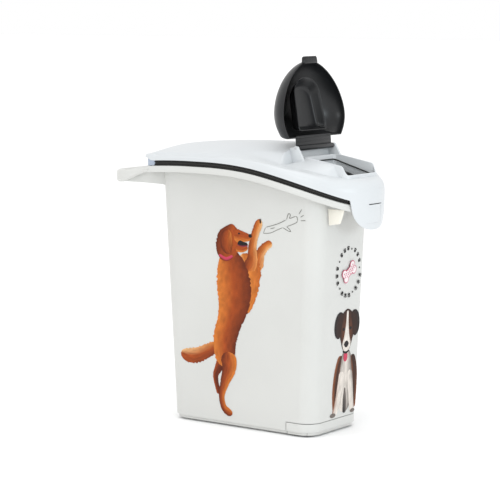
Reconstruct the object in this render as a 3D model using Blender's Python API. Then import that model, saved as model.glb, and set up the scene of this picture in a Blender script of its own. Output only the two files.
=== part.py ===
"""Pet food bin: a tub with a carrying handle, a sealed lid with a domed spout flap, a scoop that
nests in the flap, and two rollers in a clip-in carrier under the front edge.

Frame: metres, +Z up, +X towards the spout, +Y to the bin's left. The origin is on the floor, under
the middle of the base. Run with: blender --background --python part.py
"""

from math import cos, hypot, pi, radians, sin, sqrt

import bmesh
import bpy
from mathutils import Matrix, Vector

GAP = 0.0003  # left between touching pieces

# Tub
BASE_HALF = (0.153, 0.0755)  # half length and half width of the walls at the floor
TOP_HALF = (0.173, 0.0845)  # and at WALL_TOP
WALL_TOP = 0.44
WALL_CORNER = 0.030
WALL = 0.0025
SKIRT_LOW = 0.003  # the underside stands this far off the floor
PLINTH = (0.008, 0.0035)  # height and inset of the plinth
FLOOR_TOP = 0.006
FOOT_PAD = (-0.145, 0.030, 0.052)  # rear foot: from x, to x, half width

# Rim and seam between tub and lid
RIM_REAR, RIM_FRONT, RIM_HALF = -0.186, 0.2245, 0.116
REAR_CORNER = 0.022
NOSE_START, NOSE_FLAT = 0.081, 0.004  # the front is half an ellipse with a short flat at its tip
SEAM_HALF = 0.0047  # from the seam's middle line to tub or lid
SKIRT_DROP = 0.016  # rim skirt's lower edge, below the seam line
SEAM_TOP, SEAM_FALL, SEAM_POWER, SEAM_START = 0.4632, 1.151, 2.3, -0.055
SEAM_REAR, SEAM_SAG = -0.080, 0.4356

# Handle
HANDLE_REAR = -0.265
HANDLE_CORNER = 0.045
HANDLE_BAR = 0.017  # width in plan
HANDLE_MID = 0.433
HANDLE_HALF_HEIGHT = 0.0115

# Wheel carrier under the front edge
CARRIER_REAR = 0.100
CARRIER_TOP = 0.0235
CARRIER_PROUD = 0.0008
CARRIER_WALL = 0.0025
ROLLER_R, ROLLER_HALF, ROLLER_Y, ROLLER_X = 0.010, 0.0145, 0.044, 0.123
AXLE_R, AXLE_HALF = 0.002, 0.066
CHEEK_Y = (0.0275, 0.0605)

# Lid
LID_REAR, LID_FRONT, LID_HALF = -0.1875, 0.230, 0.116
LID_CORNER = 0.024
LID_SKIN = 0.0025
LID_PIN = (-0.1805, 0.468)  # x and z of the lid's axis
LID_PIN_R, LID_PIN_Y = 0.002, (0.0705, 0.0915)
LUG_Y = (0.078, 0.084)
LUG_NOTCH = (-0.184, 0.455, 0.4735)  # cut from the lid's rear skirt: front x, lowest z, highest z
DECK_REAR, DECK_REACH, DECK_HALF = 0.0975, 0.130, 0.095  # the deck: part of an ellipse, cut off at the rear
DECK_SOFT = 0.0035  # half the width of the step round it

# Spout collar and its gasket
COLLAR = (0.112, 0.207, 0.049, 0.012)  # rear, front, half width, corner radius
COLLAR_WALL = 0.0035
SEAL_REAR_Z, SEAL_FRONT_Z = 0.4715, 0.4455

# Apron and latch
APRON_X, APRON_HALF, APRON_TOP, APRON_DROP = 0.2328, 0.052, 0.412, 0.054
LATCH = (0.019, 0.370, 0.4025)  # half width, lowest z, highest z
LATCH_THICK = 0.003

# Flap, open at rest: s runs up from its axis, n points forward out of its mouth
FLAP_PIN = (0.1075, 0.494)
FLAP_LEAN = radians(5)
FLAP_PIN_R, FLAP_PIN_HALF = 0.002, 0.060
FLAP_LOW, FLAP_WIDE, FLAP_TIP = 0.017, 0.054, 0.1485
FLAP_HALF, FLAP_LOW_HALF = 0.094, 0.079
FLAP_DEPTH, FLAP_SKIN = 0.050, 0.0022
FLAP_MID, FLAP_BOW = 0.068, 0.003  # where the dome is deepest, and how far its sides stand forward
NECK_HALF, BARREL_R = 0.052, 0.0045
EAR_Y = (0.0535, 0.0605)

# Scoop
SCOOP_S = (0.0285, 0.121)
SCOOP_HALF = (0.042, 0.038)
SCOOP_BACK, SCOOP_TILT = 0.001, 0.12  # its rim stands back from the mouth, more so towards the tip
SCOOP_DEPTH, SCOOP_SKIN = 0.019, 0.002


def material(name, color, roughness, metallic=0.0):
    found = bpy.data.materials.new(name)
    found.use_nodes = True
    shader = found.node_tree.nodes["Principled BSDF"]
    shader.inputs["Base Color"].default_value = (*color, 1)
    shader.inputs["Roughness"].default_value = roughness
    shader.inputs["Metallic"].default_value = metallic
    return found


def add_object(name, verts, faces, mat, origin=(0, 0, 0)):
    """A mesh object from world points, with its origin at the given point."""
    mesh = bpy.data.meshes.new(name)
    at = Vector(origin)
    mesh.from_pydata([Vector(v) - at for v in verts], [], faces)
    work = bmesh.new()
    work.from_mesh(mesh)
    bmesh.ops.triangulate(work, faces=work.faces)
    bmesh.ops.recalc_face_normals(work, faces=work.faces)
    work.to_mesh(mesh)
    work.free()
    mesh.materials.append(mat)
    mesh.shade_smooth()
    mesh.set_sharp_from_angle(angle=radians(35))
    obj = bpy.data.objects.new(name, mesh)
    obj.location = at
    bpy.context.scene.collection.objects.link(obj)
    return obj


def loft(rings, cap=True, loop=False):
    """Points and faces that join rings of equally many points, capped at both ends or looped."""
    count = len(rings[0])
    verts = [p for ring in rings for p in ring]
    faces = []
    pairs = [(k, k + 1) for k in range(len(rings) - 1)] + ([(len(rings) - 1, 0)] if loop else [])
    for low, high in pairs:
        for i in range(count):
            j = (i + 1) % count
            faces.append((low * count + i, low * count + j, high * count + j, high * count + i))
    if cap and not loop:
        faces.append(tuple(reversed(range(count))))
        faces.append(tuple(range(len(verts) - count, len(verts))))
    return verts, faces


def outline(rear, front, half, r_rear, r_front, side=6, corner=4, nose=9, end=2):
    """A rounded rectangle in plan, anticlockwise from its right rear corner.

    r_front is one radius, or a pair of them along x and y for an elliptical front.
    """
    rx, ry = r_front if isinstance(r_front, tuple) else (r_front, r_front)
    points = []

    def line(a, b, steps):
        points.extend(
            (a[0] + (b[0] - a[0]) * k / steps, a[1] + (b[1] - a[1]) * k / steps) for k in range(1, steps)
        )

    def arc(cx, cy, a, b, start, steps):
        turns = [start + k * pi / 2 / steps for k in range(steps + 1)]
        points.extend((cx + a * cos(t), cy + b * sin(t)) for t in turns)

    arc(rear + r_rear, -half + r_rear, r_rear, r_rear, pi, corner)
    line((rear + r_rear, -half), (front - rx, -half), side)
    arc(front - rx, -half + ry, rx, ry, -pi / 2, nose)
    line((front, -half + ry), (front, half - ry), end)
    arc(front - rx, half - ry, rx, ry, 0, nose)
    line((front - rx, half), (rear + r_rear, half), side)
    arc(rear + r_rear, half - r_rear, r_rear, r_rear, pi / 2, corner)
    line((rear, half - r_rear), (rear, -half + r_rear), end)
    return points


def lift(points, height):
    """Plan points raised to a height, which is a number or a function of x and y."""
    return [(x, y, height(x, y) if callable(height) else height) for x, y in points]


def box(name, low, high, mat=None):
    ring = [(low[0], low[1]), (high[0], low[1]), (high[0], high[1]), (low[0], high[1])]
    verts, faces = loft([lift(ring, low[2]), lift(ring, high[2])])
    return add_object(name, verts, faces, mat or SCRATCH)


def rod(name, x, z, r, y0, y1, mat=None, sides=12, origin=None):
    """A cylinder along Y."""
    turns = [2 * pi * k / sides for k in range(sides)]
    rings = [[(x + r * cos(t), y, z + r * sin(t)) for t in turns] for y in (y0, y1)]
    verts, faces = loft(rings)
    return add_object(name, verts, faces, mat or SCRATCH, origin or (0, 0, 0))


def evaluated_mesh(obj):
    """The object's mesh after its modifiers, in triangles."""
    bpy.context.view_layer.update()
    graph = bpy.context.evaluated_depsgraph_get()
    mesh = bpy.data.meshes.new_from_object(obj.evaluated_get(graph))
    work = bmesh.new()
    work.from_mesh(mesh)
    bmesh.ops.triangulate(work, faces=work.faces)
    work.to_mesh(mesh)
    work.free()
    return mesh


def volume(mesh):
    work = bmesh.new()
    work.from_mesh(mesh)
    found = work.calc_volume(signed=True)
    work.free()
    return found


def combine(obj, other, operation):
    """A Boolean that is applied at once. MANIFOLD steps in where EXACT loses the shape."""
    modifier = obj.modifiers.new(operation, "BOOLEAN")
    modifier.operation = operation
    modifier.object = other
    least = 0.5 if operation == "DIFFERENCE" else 0.99
    for solver in ("EXACT", "MANIFOLD"):
        modifier.solver = solver
        mesh = evaluated_mesh(obj)
        if volume(mesh) > least * volume(obj.data):
            break
    obj.modifiers.clear()
    obj.data = mesh
    bpy.data.objects.remove(other)


def cut(obj, *others):
    for other in others:
        combine(obj, other, "DIFFERENCE")


def join(obj, *others):
    for other in others:
        combine(obj, other, "UNION")


def smooth_step(low, high, value):
    t = min(max((value - low) / (high - low), 0.0), 1.0)
    return t * t * (3 - 2 * t)


# ---------------------------------------------------------------- shared curves of tub and lid


def seam(x):
    """Height of the middle of the seam: almost level at the rear, falling ever faster to the front."""
    fall = SEAM_FALL * max(0.0, x - SEAM_START) ** SEAM_POWER
    return SEAM_TOP - fall - SEAM_SAG * min(0.0, x - SEAM_REAR) ** 2


def bowed_outline(rear, front, half, corner, inset=0.0, **steps):
    """The plan shared by rim, seal and lid: round rear corners and a front like half an ellipse."""
    nose = (front - NOSE_START - inset, half - NOSE_FLAT - inset)
    return outline(rear + inset, front - inset, half - inset, corner - inset, nose, **steps)


def rim_outline(inset=0.0):
    return bowed_outline(RIM_REAR, RIM_FRONT, RIM_HALF, REAR_CORNER, inset)


def wall_outline(z, inset=0.0):
    f = z / WALL_TOP
    length = BASE_HALF[0] + (TOP_HALF[0] - BASE_HALF[0]) * f - inset
    width = BASE_HALF[1] + (TOP_HALF[1] - BASE_HALF[1]) * f - inset
    radius = max(WALL_CORNER - inset, 0.004)
    return outline(-length, length, width, radius, radius)


def lid_outline(inset=0.0):
    return bowed_outline(LID_REAR, LID_FRONT, LID_HALF, LID_CORNER, inset)


# ------------------------------------------------------------------------------------- tub


def handle_path():
    """Plan points of the handle's middle line, from one arm's root to the other's, with normals."""
    half = RIM_HALF - HANDLE_BAR / 2
    r = HANDLE_CORNER - HANDLE_BAR / 2
    rear = HANDLE_REAR + HANDLE_BAR / 2
    path = [((RIM_REAR + 0.012, -half), (0, -1)), ((RIM_REAR - 0.016, -half), (0, -1))]
    for k in range(6):
        t = -pi / 2 - k * pi / 10
        path.append(((rear + r + r * cos(t), -half + r + r * sin(t)), (cos(t), sin(t))))
    mirrored = [((p[0], -p[1]), (d[0], -d[1])) for p, d in reversed(path)]
    return path + mirrored


def handle(mat):
    """A bar with rounded edges that runs level round the rear and rises a little into the rim."""
    rings = []
    for (x, y), (nx, ny) in handle_path():
        f = smooth_step(HANDLE_REAR + 0.01, RIM_REAR + 0.01, x)
        top = HANDLE_MID + HANDLE_HALF_HEIGHT + f * (seam(x) - SEAM_HALF - 0.001 - HANDLE_MID - HANDLE_HALF_HEIGHT)
        low = HANDLE_MID - HANDLE_HALF_HEIGHT + f * (seam(x) - SKIRT_DROP + 0.001 - HANDLE_MID + HANDLE_HALF_HEIGHT)
        w, soft = HANDLE_BAR / 2, 0.004
        section = [
            (w, low + soft), (w, top - soft), (w - soft, top), (soft - w, top),
            (-w, top - soft), (-w, low + soft), (soft - w, low), (w - soft, low),
        ]  # fmt: skip
        rings.append([(x + nx * u, y + ny * u, z) for u, z in section])
    verts, faces = loft(rings)
    return add_object("handle", verts, faces, mat)


def gusset(side, mat):
    """A web from the rear wall's corner out to the underside of one handle arm."""
    inner = (-0.165, side * 0.070)
    outer = (-0.236, side * 0.103)
    rings = []
    for x, y, low, high in ((*inner, 0.418, 0.4475), (*outer, 0.4235, 0.432)):
        rings.append([(x, y - 0.0015, low), (x, y + 0.0015, low), (x, y + 0.0015, high), (x, y - 0.0015, high)])
    verts, faces = loft(rings)
    return add_object("gusset", verts, faces, mat)


def make_bin_body(mat):
    plate = lambda x, y: seam(x) - SEAM_HALF
    under = lambda x, y: seam(x) - SEAM_HALF - WALL
    skirt = lambda x, y: seam(x) - SKIRT_DROP
    edge = lambda x, y: seam(x) - SEAM_HALF - 0.0012
    rings = [
        lift(wall_outline(0, PLINTH[1]), SKIRT_LOW),
        lift(wall_outline(0, PLINTH[1]), PLINTH[0]),
        lift(wall_outline(0), PLINTH[0] + 0.0008),
        lift(wall_outline(0.22), 0.22),
        lift(wall_outline(WALL_TOP), under),
        lift(rim_outline(WALL), under),
        lift(rim_outline(WALL), skirt),
        lift(rim_outline(), skirt),
        lift(rim_outline(), edge),
        lift(rim_outline(0.0012), plate),
        lift(wall_outline(WALL_TOP, WALL), plate),
        lift(wall_outline(0.22, WALL), 0.22),
        lift(wall_outline(0, WALL + 0.001), FLOOR_TOP),
    ]
    verts, faces = loft(rings)
    body = add_object("bin_body", verts, faces, mat)
    join(body, handle(mat), gusset(1, mat), gusset(-1, mat))
    pocket_top = CARRIER_TOP + 3 * GAP
    front, side = (half - PLINTH[1] - WALL / 2 for half in BASE_HALF)
    plan = outline(CARRIER_REAR - WALL, front, side, 0.002, WALL_CORNER - WALL / 2)
    high, wide = (half - WALL / 2 for half in BASE_HALF)
    upper = outline(CARRIER_REAR - WALL, high, wide, 0.002, WALL_CORNER - WALL / 2)
    step = [lift(plan, SKIRT_LOW + 0.001), lift(upper, PLINTH[0] + 0.001), lift(upper, pocket_top + WALL)]
    join(body, add_object("step", *loft(step), mat))
    cut(body, box("pocket", (CARRIER_REAR, -0.2, -0.01), (0.2, 0.2, pocket_top)))
    join(body, box("pad", (FOOT_PAD[0], -FOOT_PAD[2], 0), (FOOT_PAD[1], FOOT_PAD[2], FLOOR_TOP - 0.001)))
    for side in (-1, 1):
        y0, y1 = sorted((side * LUG_Y[0], side * LUG_Y[1]))
        x, z = LID_PIN
        join(body, box("lug", (x - 0.0028, y0, seam(x) - SEAM_HALF - 0.001), (x + 0.0028, y1, z + 0.0028)))
        cut(body, rod("bore", x, z, LID_PIN_R + GAP, y0 - 0.005, y1 + 0.005))
    return body


# ------------------------------------------------------------------------- wheel carrier


def make_wheel_carrier(mat):
    """The foot's front: a band round the corner, a plate over the rollers, and four axle cheeks."""
    proud = CARRIER_PROUD
    inset = PLINTH[1] - proud
    rear = CARRIER_REAR + 3 * GAP
    length, width = BASE_HALF[0] - inset, BASE_HALF[1] - inset
    full = BASE_HALF[0] + proud, BASE_HALF[1] + proud
    plans = (
        (length, width, SKIRT_LOW), (length, width, PLINTH[0]),
        (*full, PLINTH[0] + 0.0008), (*full, CARRIER_TOP),
    )  # fmt: skip
    verts, faces = loft(
        [lift(outline(rear, a, b, 0.002, WALL_CORNER, side=2, corner=5), z) for a, b, z in plans]
    )
    carrier = add_object("wheel_carrier", verts, faces, mat)
    low = (rear + CARRIER_WALL, -width + CARRIER_WALL + 0.004, -0.01)
    high = (length - CARRIER_WALL - 0.010, width - CARRIER_WALL - 0.004, CARRIER_TOP - CARRIER_WALL)
    cut(carrier, box("hollow", low, high))
    for side in (-1, 1):
        for y in CHEEK_Y:
            at = side * y
            join(carrier, box("cheek", (ROLLER_X - 0.009, at - 0.001, 0.0045), (ROLLER_X + 0.009, at + 0.001, CARRIER_TOP - 0.001)))
    cut(carrier, rod("bore", ROLLER_X, ROLLER_R, AXLE_R + GAP, -AXLE_HALF - GAP, AXLE_HALF + GAP))
    return carrier


def make_roller(name, side, mat):
    """A crowned roller with a bore, on the axle."""
    half, turns = ROLLER_HALF, [2 * pi * k / 24 for k in range(24)]
    bore = AXLE_R + 0.0004
    profile = [
        (bore, -half), (ROLLER_R - 0.0015, -half), (ROLLER_R, -half + 0.0015),
        (ROLLER_R, half - 0.0015), (ROLLER_R - 0.0015, half), (bore, half),
    ]  # fmt: skip
    rings = [
        [(ROLLER_X + r * cos(t), side * ROLLER_Y + y, ROLLER_R + r * sin(t)) for t in turns] for r, y in profile
    ]
    verts, faces = loft(rings, loop=True)
    return add_object(name, verts, faces, mat, (ROLLER_X, side * ROLLER_Y, ROLLER_R))


# ------------------------------------------------------------------------------------- lid


def crest(x):
    """Height of the lid along its middle, highest a little behind the flap."""
    return 0.5005 - 0.33 * (x - 0.012) ** 2 - 1.6 * max(0.0, -0.150 - x) ** 1.5


def shoulder(x):
    """Height of the lid at its long edges."""
    level = 0.4775 - 0.0035 * smooth_step(0.150, 0.188, -x) - 0.005 * smooth_step(0.13, 0.20, x)
    t = x - 0.055
    return level - 0.09 * (t + sqrt(t * t + 0.045**2)) * smooth_step(-0.05, 0.06, x)


def deck_ellipse(x, y):
    """Distance outside the ellipse that bounds the deck, negative inside it."""
    ex, ey = max(x - NOSE_START, 0.0) / DECK_REACH, y / DECK_HALF
    size = max(hypot(ex, ey), 0.01)
    return (size - 1) * size / hypot(ex / DECK_REACH, ey / DECK_HALF, 0.01)


def lid_top(x, y):
    """The lid's outer surface: an arched dome, a deck rising to the spout's collar, and a falling nose."""
    low, edge = shoulder(x), deck_ellipse(x, y)
    arch = 1 - min(abs(y) / LID_HALF, 1.0) ** 2.3
    fade = 1 - smooth_step(0.0, 0.12, x) * smooth_step(-0.02, 0.0, edge)
    dome = low + (crest(x) - low) * arch * fade
    outside = max(edge, DECK_REAR - x)
    rear, front, half, _ = COLLAR
    to_collar = hypot(max(rear - x, x - front, 0.0), max(abs(y) - half, 0.0))
    climb = max(-outside, 0.0) / max(to_collar - min(outside, 0.0), 0.001)
    deck = low + (collar_lip(x, y) - 0.0015 - low) * climb
    inside = 1 - smooth_step(-DECK_SOFT, DECK_SOFT, outside)
    nose = 0.4525 + 1.35 * max(0.0, front - 0.003 - x) - 0.8 * max(0.0, x - front + 0.003)
    return min(dome + (min(dome, deck) - dome) * inside, nose)


def lid_low(x, y):
    """The lid's lower edge: on the gasket, and cut away at the rear corners to clear the hinge."""
    return seam(x) + SEAM_HALF + 0.004 * smooth_step(0.160, 0.178, -x)


def lid_rings(drop, inset, scales):
    """Rings over the lid, from its edge to its middle, lowered and inset by the skin."""
    mid = (LID_REAR + LID_FRONT) / 2
    rings = []
    for scale in scales:
        ring = [(mid + (x - mid) * scale, y * scale) for x, y in lid_outline(inset)]
        rings.append(lift(ring, lambda x, y: lid_top(x, y) - drop))
    return rings


def seal_height(x):
    """Height of the spout's gasket, which slopes down to the front."""
    rear, front, _, _ = COLLAR
    return SEAL_REAR_Z + (SEAL_FRONT_Z - SEAL_REAR_Z) * (x - rear) / (front - rear)


def collar_lip(x, y):
    """The collar's upper edge: side walls that step down to the pouring lip."""
    sides = 0.479 - 0.17 * max(0.0, x - 0.128)
    return sides + (0.4525 - sides) * smooth_step(0.193, 0.204, x)


def collar(mat):
    rear, front, half, r = COLLAR

    def ring(inset, height):
        plan = outline(rear + inset, front - inset, half - inset, 0.006, r - inset, side=10)
        return lift(plan, height)

    low = lambda x, y: seal_height(x) - 0.014
    verts, faces = loft(
        [ring(0, low), ring(0, collar_lip), ring(COLLAR_WALL, collar_lip), ring(COLLAR_WALL, low)], loop=True
    )
    return add_object("collar", verts, faces, mat)


def apron(mat):
    """A round-ended lobe that hangs in front of the rim, with a window for the latch."""
    rows, columns, thick = 9, 10, 0.0032
    front, back = [], []
    for i in range(rows + 1):
        z = APRON_TOP + 0.012 - (APRON_DROP + 0.012) * sin(i / rows * pi / 2)
        f = max(0.0, (APRON_TOP - z) / APRON_DROP)
        half = max(APRON_HALF * (1 - f**2.2) ** (1 / 2.2), 0.004)
        for k in range(columns + 1):
            y = half * (2 * k / columns - 1)
            bow = sqrt(1 - (y / LID_HALF) ** 2)
            x = NOSE_START + (APRON_X - NOSE_START) * bow - 0.004 * f * f
            front.append((x, y, z))
            back.append((x - thick, y, z))
    width = columns + 1
    verts = front + back
    faces = []
    for i in range(rows):
        for k in range(columns):
            a = i * width + k
            quad = (a, a + 1, a + width + 1, a + width)
            faces.append(quad)
            faces.append(tuple(v + len(front) for v in reversed(quad)))
    border = [k for k in range(width)] + [i * width + columns for i in range(1, rows + 1)]
    border += [rows * width + k for k in range(columns - 1, -1, -1)] + [i * width for i in range(rows - 1, 0, -1)]
    for a, b in zip(border, border[1:] + border[:1]):
        faces.append((b, a, a + len(front), b + len(front)))
    return add_object("apron", verts, faces, mat)


def make_lid_shell(mat):
    outer = (1.0, 0.985, 0.955, 0.9, 0.8, 0.68, 0.55, 0.4, 0.25, 0.1)
    edge = lift(lid_outline(), lid_low)
    edge_in = lift(lid_outline(LID_SKIN), lid_low)
    rings = lid_rings(LID_SKIN, LID_SKIN, outer[::-1])
    rings += [edge_in, edge]
    rings += lid_rings(0.004, 0.0, (1.0,)) + lid_rings(0.0, 0.0, outer[1:])
    verts, faces = loft(rings)
    lid = add_object("lid_shell", verts, faces, mat)
    rear, front, half, _ = COLLAR
    inner = COLLAR_WALL / 2
    cut(lid, box("mouth", (rear + inner, -half + inner, 0.42), (front - inner, half - inner, 0.52)))
    join(lid, collar(mat), apron(mat))
    half, low, high = LATCH
    cut(lid, box("window", (0.20, -half - 2 * GAP, low - 2 * GAP), (0.26, half + 2 * GAP, high + 2 * GAP)))
    front, low, high = LUG_NOTCH
    for side in (-1, 1):
        y0, y1 = sorted((side * (LUG_Y[0] - 0.0008), side * (LUG_Y[1] + 0.0008)))
        cut(lid, box("notch", (LID_REAR - 0.001, y0, low), (front, y1, high)))
    x, z = FLAP_PIN
    for side in (-1, 1):
        y0, y1 = sorted((side * EAR_Y[0], side * EAR_Y[1]))
        join(lid, box("ear", (x - 0.007, y0, lid_top(x, y0) - 0.002), (x + 0.006, y1, z + 0.004)))
        cut(lid, rod("bore", x, z, FLAP_PIN_R + GAP, y0 - 0.003, y1 + 0.003))
        for inner, outer in ((LUG_Y[0] - 0.0052, LUG_Y[0] - 0.0008), (LUG_Y[1] + 0.0008, LUG_Y[1] + 0.0052)):
            y0, y1 = sorted((side * inner, side * outer))
            px, pz = LID_PIN
            join(lid, box("knuckle", (px - 0.003, y0, pz - 0.0032), (px + 0.006, y1, lid_top(px, y1) - 0.001)))
            cut(lid, rod("bore", px, pz, LID_PIN_R + GAP, y0 - 0.002, y1 + 0.002))
    return lid


def make_rim_gasket(mat):
    """The seal between tub and lid, with a shallow groove round its outer face."""
    over, under = SEAM_HALF - GAP, -SEAM_HALF + GAP

    def ring(inset, offset):
        plan = bowed_outline(-0.1768, RIM_FRONT - 0.001, RIM_HALF - 0.001, 0.021, inset)
        return lift(plan, lambda x, y: seam(x) + offset)

    rings = [
        ring(0, under), ring(0, -0.0008), ring(0.0007, 0), ring(0, 0.0008),
        ring(0, over), ring(0.006, over), ring(0.006, under),
    ]  # fmt: skip
    verts, faces = loft(rings, loop=True)
    return add_object("rim_gasket", verts, faces, mat)


def make_spout_gasket(mat):
    """A thin loop inside the collar, sloping down to the front."""
    rear, front, half, r = COLLAR
    inset = COLLAR_WALL + GAP

    def ring(more, offset):
        i = inset + more
        plan = outline(rear + i, front - i, half - i, 0.006, r - i, side=6)
        return lift(plan, lambda x, y: seal_height(x) + offset)

    rings = [ring(0, -0.0012), ring(0, 0.0012), ring(0.0022, 0.0012), ring(0.0022, -0.0012)]
    verts, faces = loft(rings, loop=True)
    return add_object("spout_gasket", verts, faces, mat)


def make_front_latch(mat):
    half, low, high = LATCH
    x = APRON_X - 0.0006
    obj = box("front_latch", (x - LATCH_THICK, -half, low), (x, half, high), mat)
    catch = box("catch", (RIM_FRONT + 3 * GAP, -half * 0.7, high - 0.006), (x - 0.001, half * 0.7, high - 0.002), mat)
    join(obj, catch)
    return obj


# ------------------------------------------------------------------------- flap and scoop


def flap_point(s, y, n):
    """A point in the flap's own directions, placed in the world with the flap open."""
    x, z = FLAP_PIN
    return (x - s * sin(FLAP_LEAN) + n * cos(FLAP_LEAN), y, z + s * cos(FLAP_LEAN) + n * sin(FLAP_LEAN))


def flap_half_width(s):
    if s < FLAP_WIDE:
        f = (FLAP_WIDE - s) / (FLAP_WIDE - FLAP_LOW)
        return FLAP_HALF - (FLAP_HALF - FLAP_LOW_HALF) * f * f
    f = min((s - FLAP_WIDE) / (FLAP_TIP - FLAP_WIDE), 1.0)
    return FLAP_HALF * (1 - f**1.75) ** 0.56


def flap_rim(count=16):
    """The rim's outline in s and y: a straight low edge, round lobes and a narrow tip."""
    right = []
    for k in range(count + 1):
        s = FLAP_LOW + (FLAP_TIP - FLAP_LOW) * sin(k / count * pi / 2)
        right.append((s, flap_half_width(s)))
    low = [(FLAP_LOW, FLAP_LOW_HALF * f) for f in (0.0, 0.35, 0.7)]
    half = low + right
    return half + [(s, -w) for s, w in reversed(half[1:-1])]


def make_spout_flap(mat):
    rings = []
    for k in range(9):
        t = k / 8 * radians(86)
        scale, depth = cos(t), FLAP_DEPTH * sin(t)
        ring = []
        for s, y in flap_rim():
            bow = FLAP_BOW * (y / FLAP_HALF) ** 2 * (1 - depth / FLAP_DEPTH)
            ring.append(flap_point(FLAP_MID + (s - FLAP_MID) * scale, y * scale, bow - depth))
        rings.append(ring)
    verts, faces = loft(rings, cap=False)
    faces.append(tuple(range(len(verts) - len(rings[0]), len(verts))))
    flap = add_object("spout_flap", verts, faces, mat)
    thicken(flap, FLAP_SKIN, flap_point(FLAP_MID, 0, -FLAP_DEPTH))
    x, z = FLAP_PIN
    neck = add_slab("neck", (0.0, FLAP_LOW + 0.004), NECK_HALF, (-0.0045, -0.0015), mat)
    join(flap, neck, rod("barrel", x, z, BARREL_R, -NECK_HALF, NECK_HALF, mat, sides=16))
    join(flap, add_slab("nub", (FLAP_TIP - 0.006, FLAP_TIP + 0.007), 0.0215, (-0.004, 0.004), mat))
    cut(flap, rod("bore", x, z, FLAP_PIN_R + GAP, -NECK_HALF - 0.01, NECK_HALF + 0.01))
    return set_origin(flap, (x, 0, z))


def add_slab(name, s_range, half, n_range, mat):
    """A block in the flap's own directions."""
    rings = []
    for s in s_range:
        rings.append([flap_point(s, y, n) for y, n in (
            (-half, n_range[0]), (half, n_range[0]), (half, n_range[1]), (-half, n_range[1])
        )])
    verts, faces = loft(rings)
    return add_object(name, verts, faces, mat)


def thicken(obj, skin, inside_of):
    """Gives an open bowl a wall on its inner side. inside_of is a point on the bowl's outer face."""
    work = bmesh.new()
    work.from_mesh(obj.data)
    near = min(work.faces, key=lambda f: (f.calc_center_median() - Vector(inside_of)).length)
    centre = sum((v.co for v in work.verts), Vector()) / len(work.verts)
    if near.normal.dot(near.calc_center_median() - centre) < 0:
        bmesh.ops.reverse_faces(work, faces=work.faces)
    work.to_mesh(obj.data)
    work.free()
    modifier = obj.modifiers.new("wall", "SOLIDIFY")
    modifier.thickness = skin
    modifier.offset = -1
    modifier.use_even_offset = True
    mesh = evaluated_mesh(obj)
    obj.modifiers.clear()
    obj.data = mesh


def set_origin(obj, at):
    """Moves an object's origin to a world point without moving its shape."""
    obj.data.transform(Matrix.Translation(obj.location - Vector(at)))
    obj.location = at
    return obj


def scoop_ring(inset, depth):
    """One outline of the scoop: straight at the hinge end, round at the tip."""
    low, high = SCOOP_S[0] + inset, SCOOP_S[1] - inset - 0.6 * depth
    wide, narrow = SCOOP_HALF[0] - inset, SCOOP_HALF[1] - inset
    points = [(low, 0.0), (low, wide - 0.006), (low + 0.002, wide - 0.002), (low + 0.006, wide)]
    for k in range(9):
        t = k * pi / 16
        points.append((high - narrow * 0.75 + narrow * 0.75 * sin(t), narrow * cos(t)))
    full = points + [(s, -y) for s, y in reversed(points[1:-1])]
    return [flap_point(s, y, -SCOOP_BACK - SCOOP_TILT * (s - SCOOP_S[0]) - depth) for s, y in full]


def make_measuring_scoop(mat):
    rings = [scoop_ring(0.0, 0.0), scoop_ring(0.001, 0.004), scoop_ring(0.004, SCOOP_DEPTH - 0.003)]
    rings.append(scoop_ring(0.007, SCOOP_DEPTH))
    verts, faces = loft(rings, cap=False)
    faces.append(tuple(range(len(verts) - len(rings[0]), len(verts))))
    scoop = add_object("measuring_scoop", verts, faces, mat)
    thicken(scoop, SCOOP_SKIN, flap_point(0.07, 0, -SCOOP_BACK - SCOOP_DEPTH - 0.01))
    return scoop


for old in list(bpy.data.objects):
    bpy.data.objects.remove(old)

SCRATCH = material("scratch", (0.5, 0.5, 0.5), 0.5)
WHITE = material("white_plastic", (0.80, 0.81, 0.80), 0.35)
LID_WHITE = material("cool_white_plastic", (0.82, 0.84, 0.87), 0.32)
BLACK = material("black_plastic", (0.03, 0.03, 0.035), 0.38)
RUBBER = material("dark_rubber", (0.05, 0.05, 0.05), 0.7)
STEEL = material("steel", (0.6, 0.6, 0.62), 0.3, 1.0)

make_bin_body(WHITE)
make_wheel_carrier(WHITE)
rod("roller_axle", ROLLER_X, ROLLER_R, AXLE_R, -AXLE_HALF, AXLE_HALF, STEEL)
make_roller("roller_left", 1, BLACK)
make_roller("roller_right", -1, BLACK)
for word, sign in (("left", 1), ("right", -1)):
    ends = sorted((sign * LID_PIN_Y[0], sign * LID_PIN_Y[1]))
    rod("lid_hinge_pin_" + word, *LID_PIN, LID_PIN_R, *ends, STEEL)
make_lid_shell(LID_WHITE)
make_rim_gasket(RUBBER)
make_spout_gasket(RUBBER)
make_front_latch(LID_WHITE)
make_spout_flap(BLACK)
rod("flap_hinge_pin", *FLAP_PIN, FLAP_PIN_R, -FLAP_PIN_HALF, FLAP_PIN_HALF, STEEL)
make_measuring_scoop(BLACK)
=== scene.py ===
"""Looks of the pet food bin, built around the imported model.

Metres, in the model's own frame: +X towards the spout, +Y to the bin's left, +Z up.
"""

from math import cos, exp, hypot, pi, radians, sin, sqrt

import bmesh
import bpy
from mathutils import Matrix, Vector, noise


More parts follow.
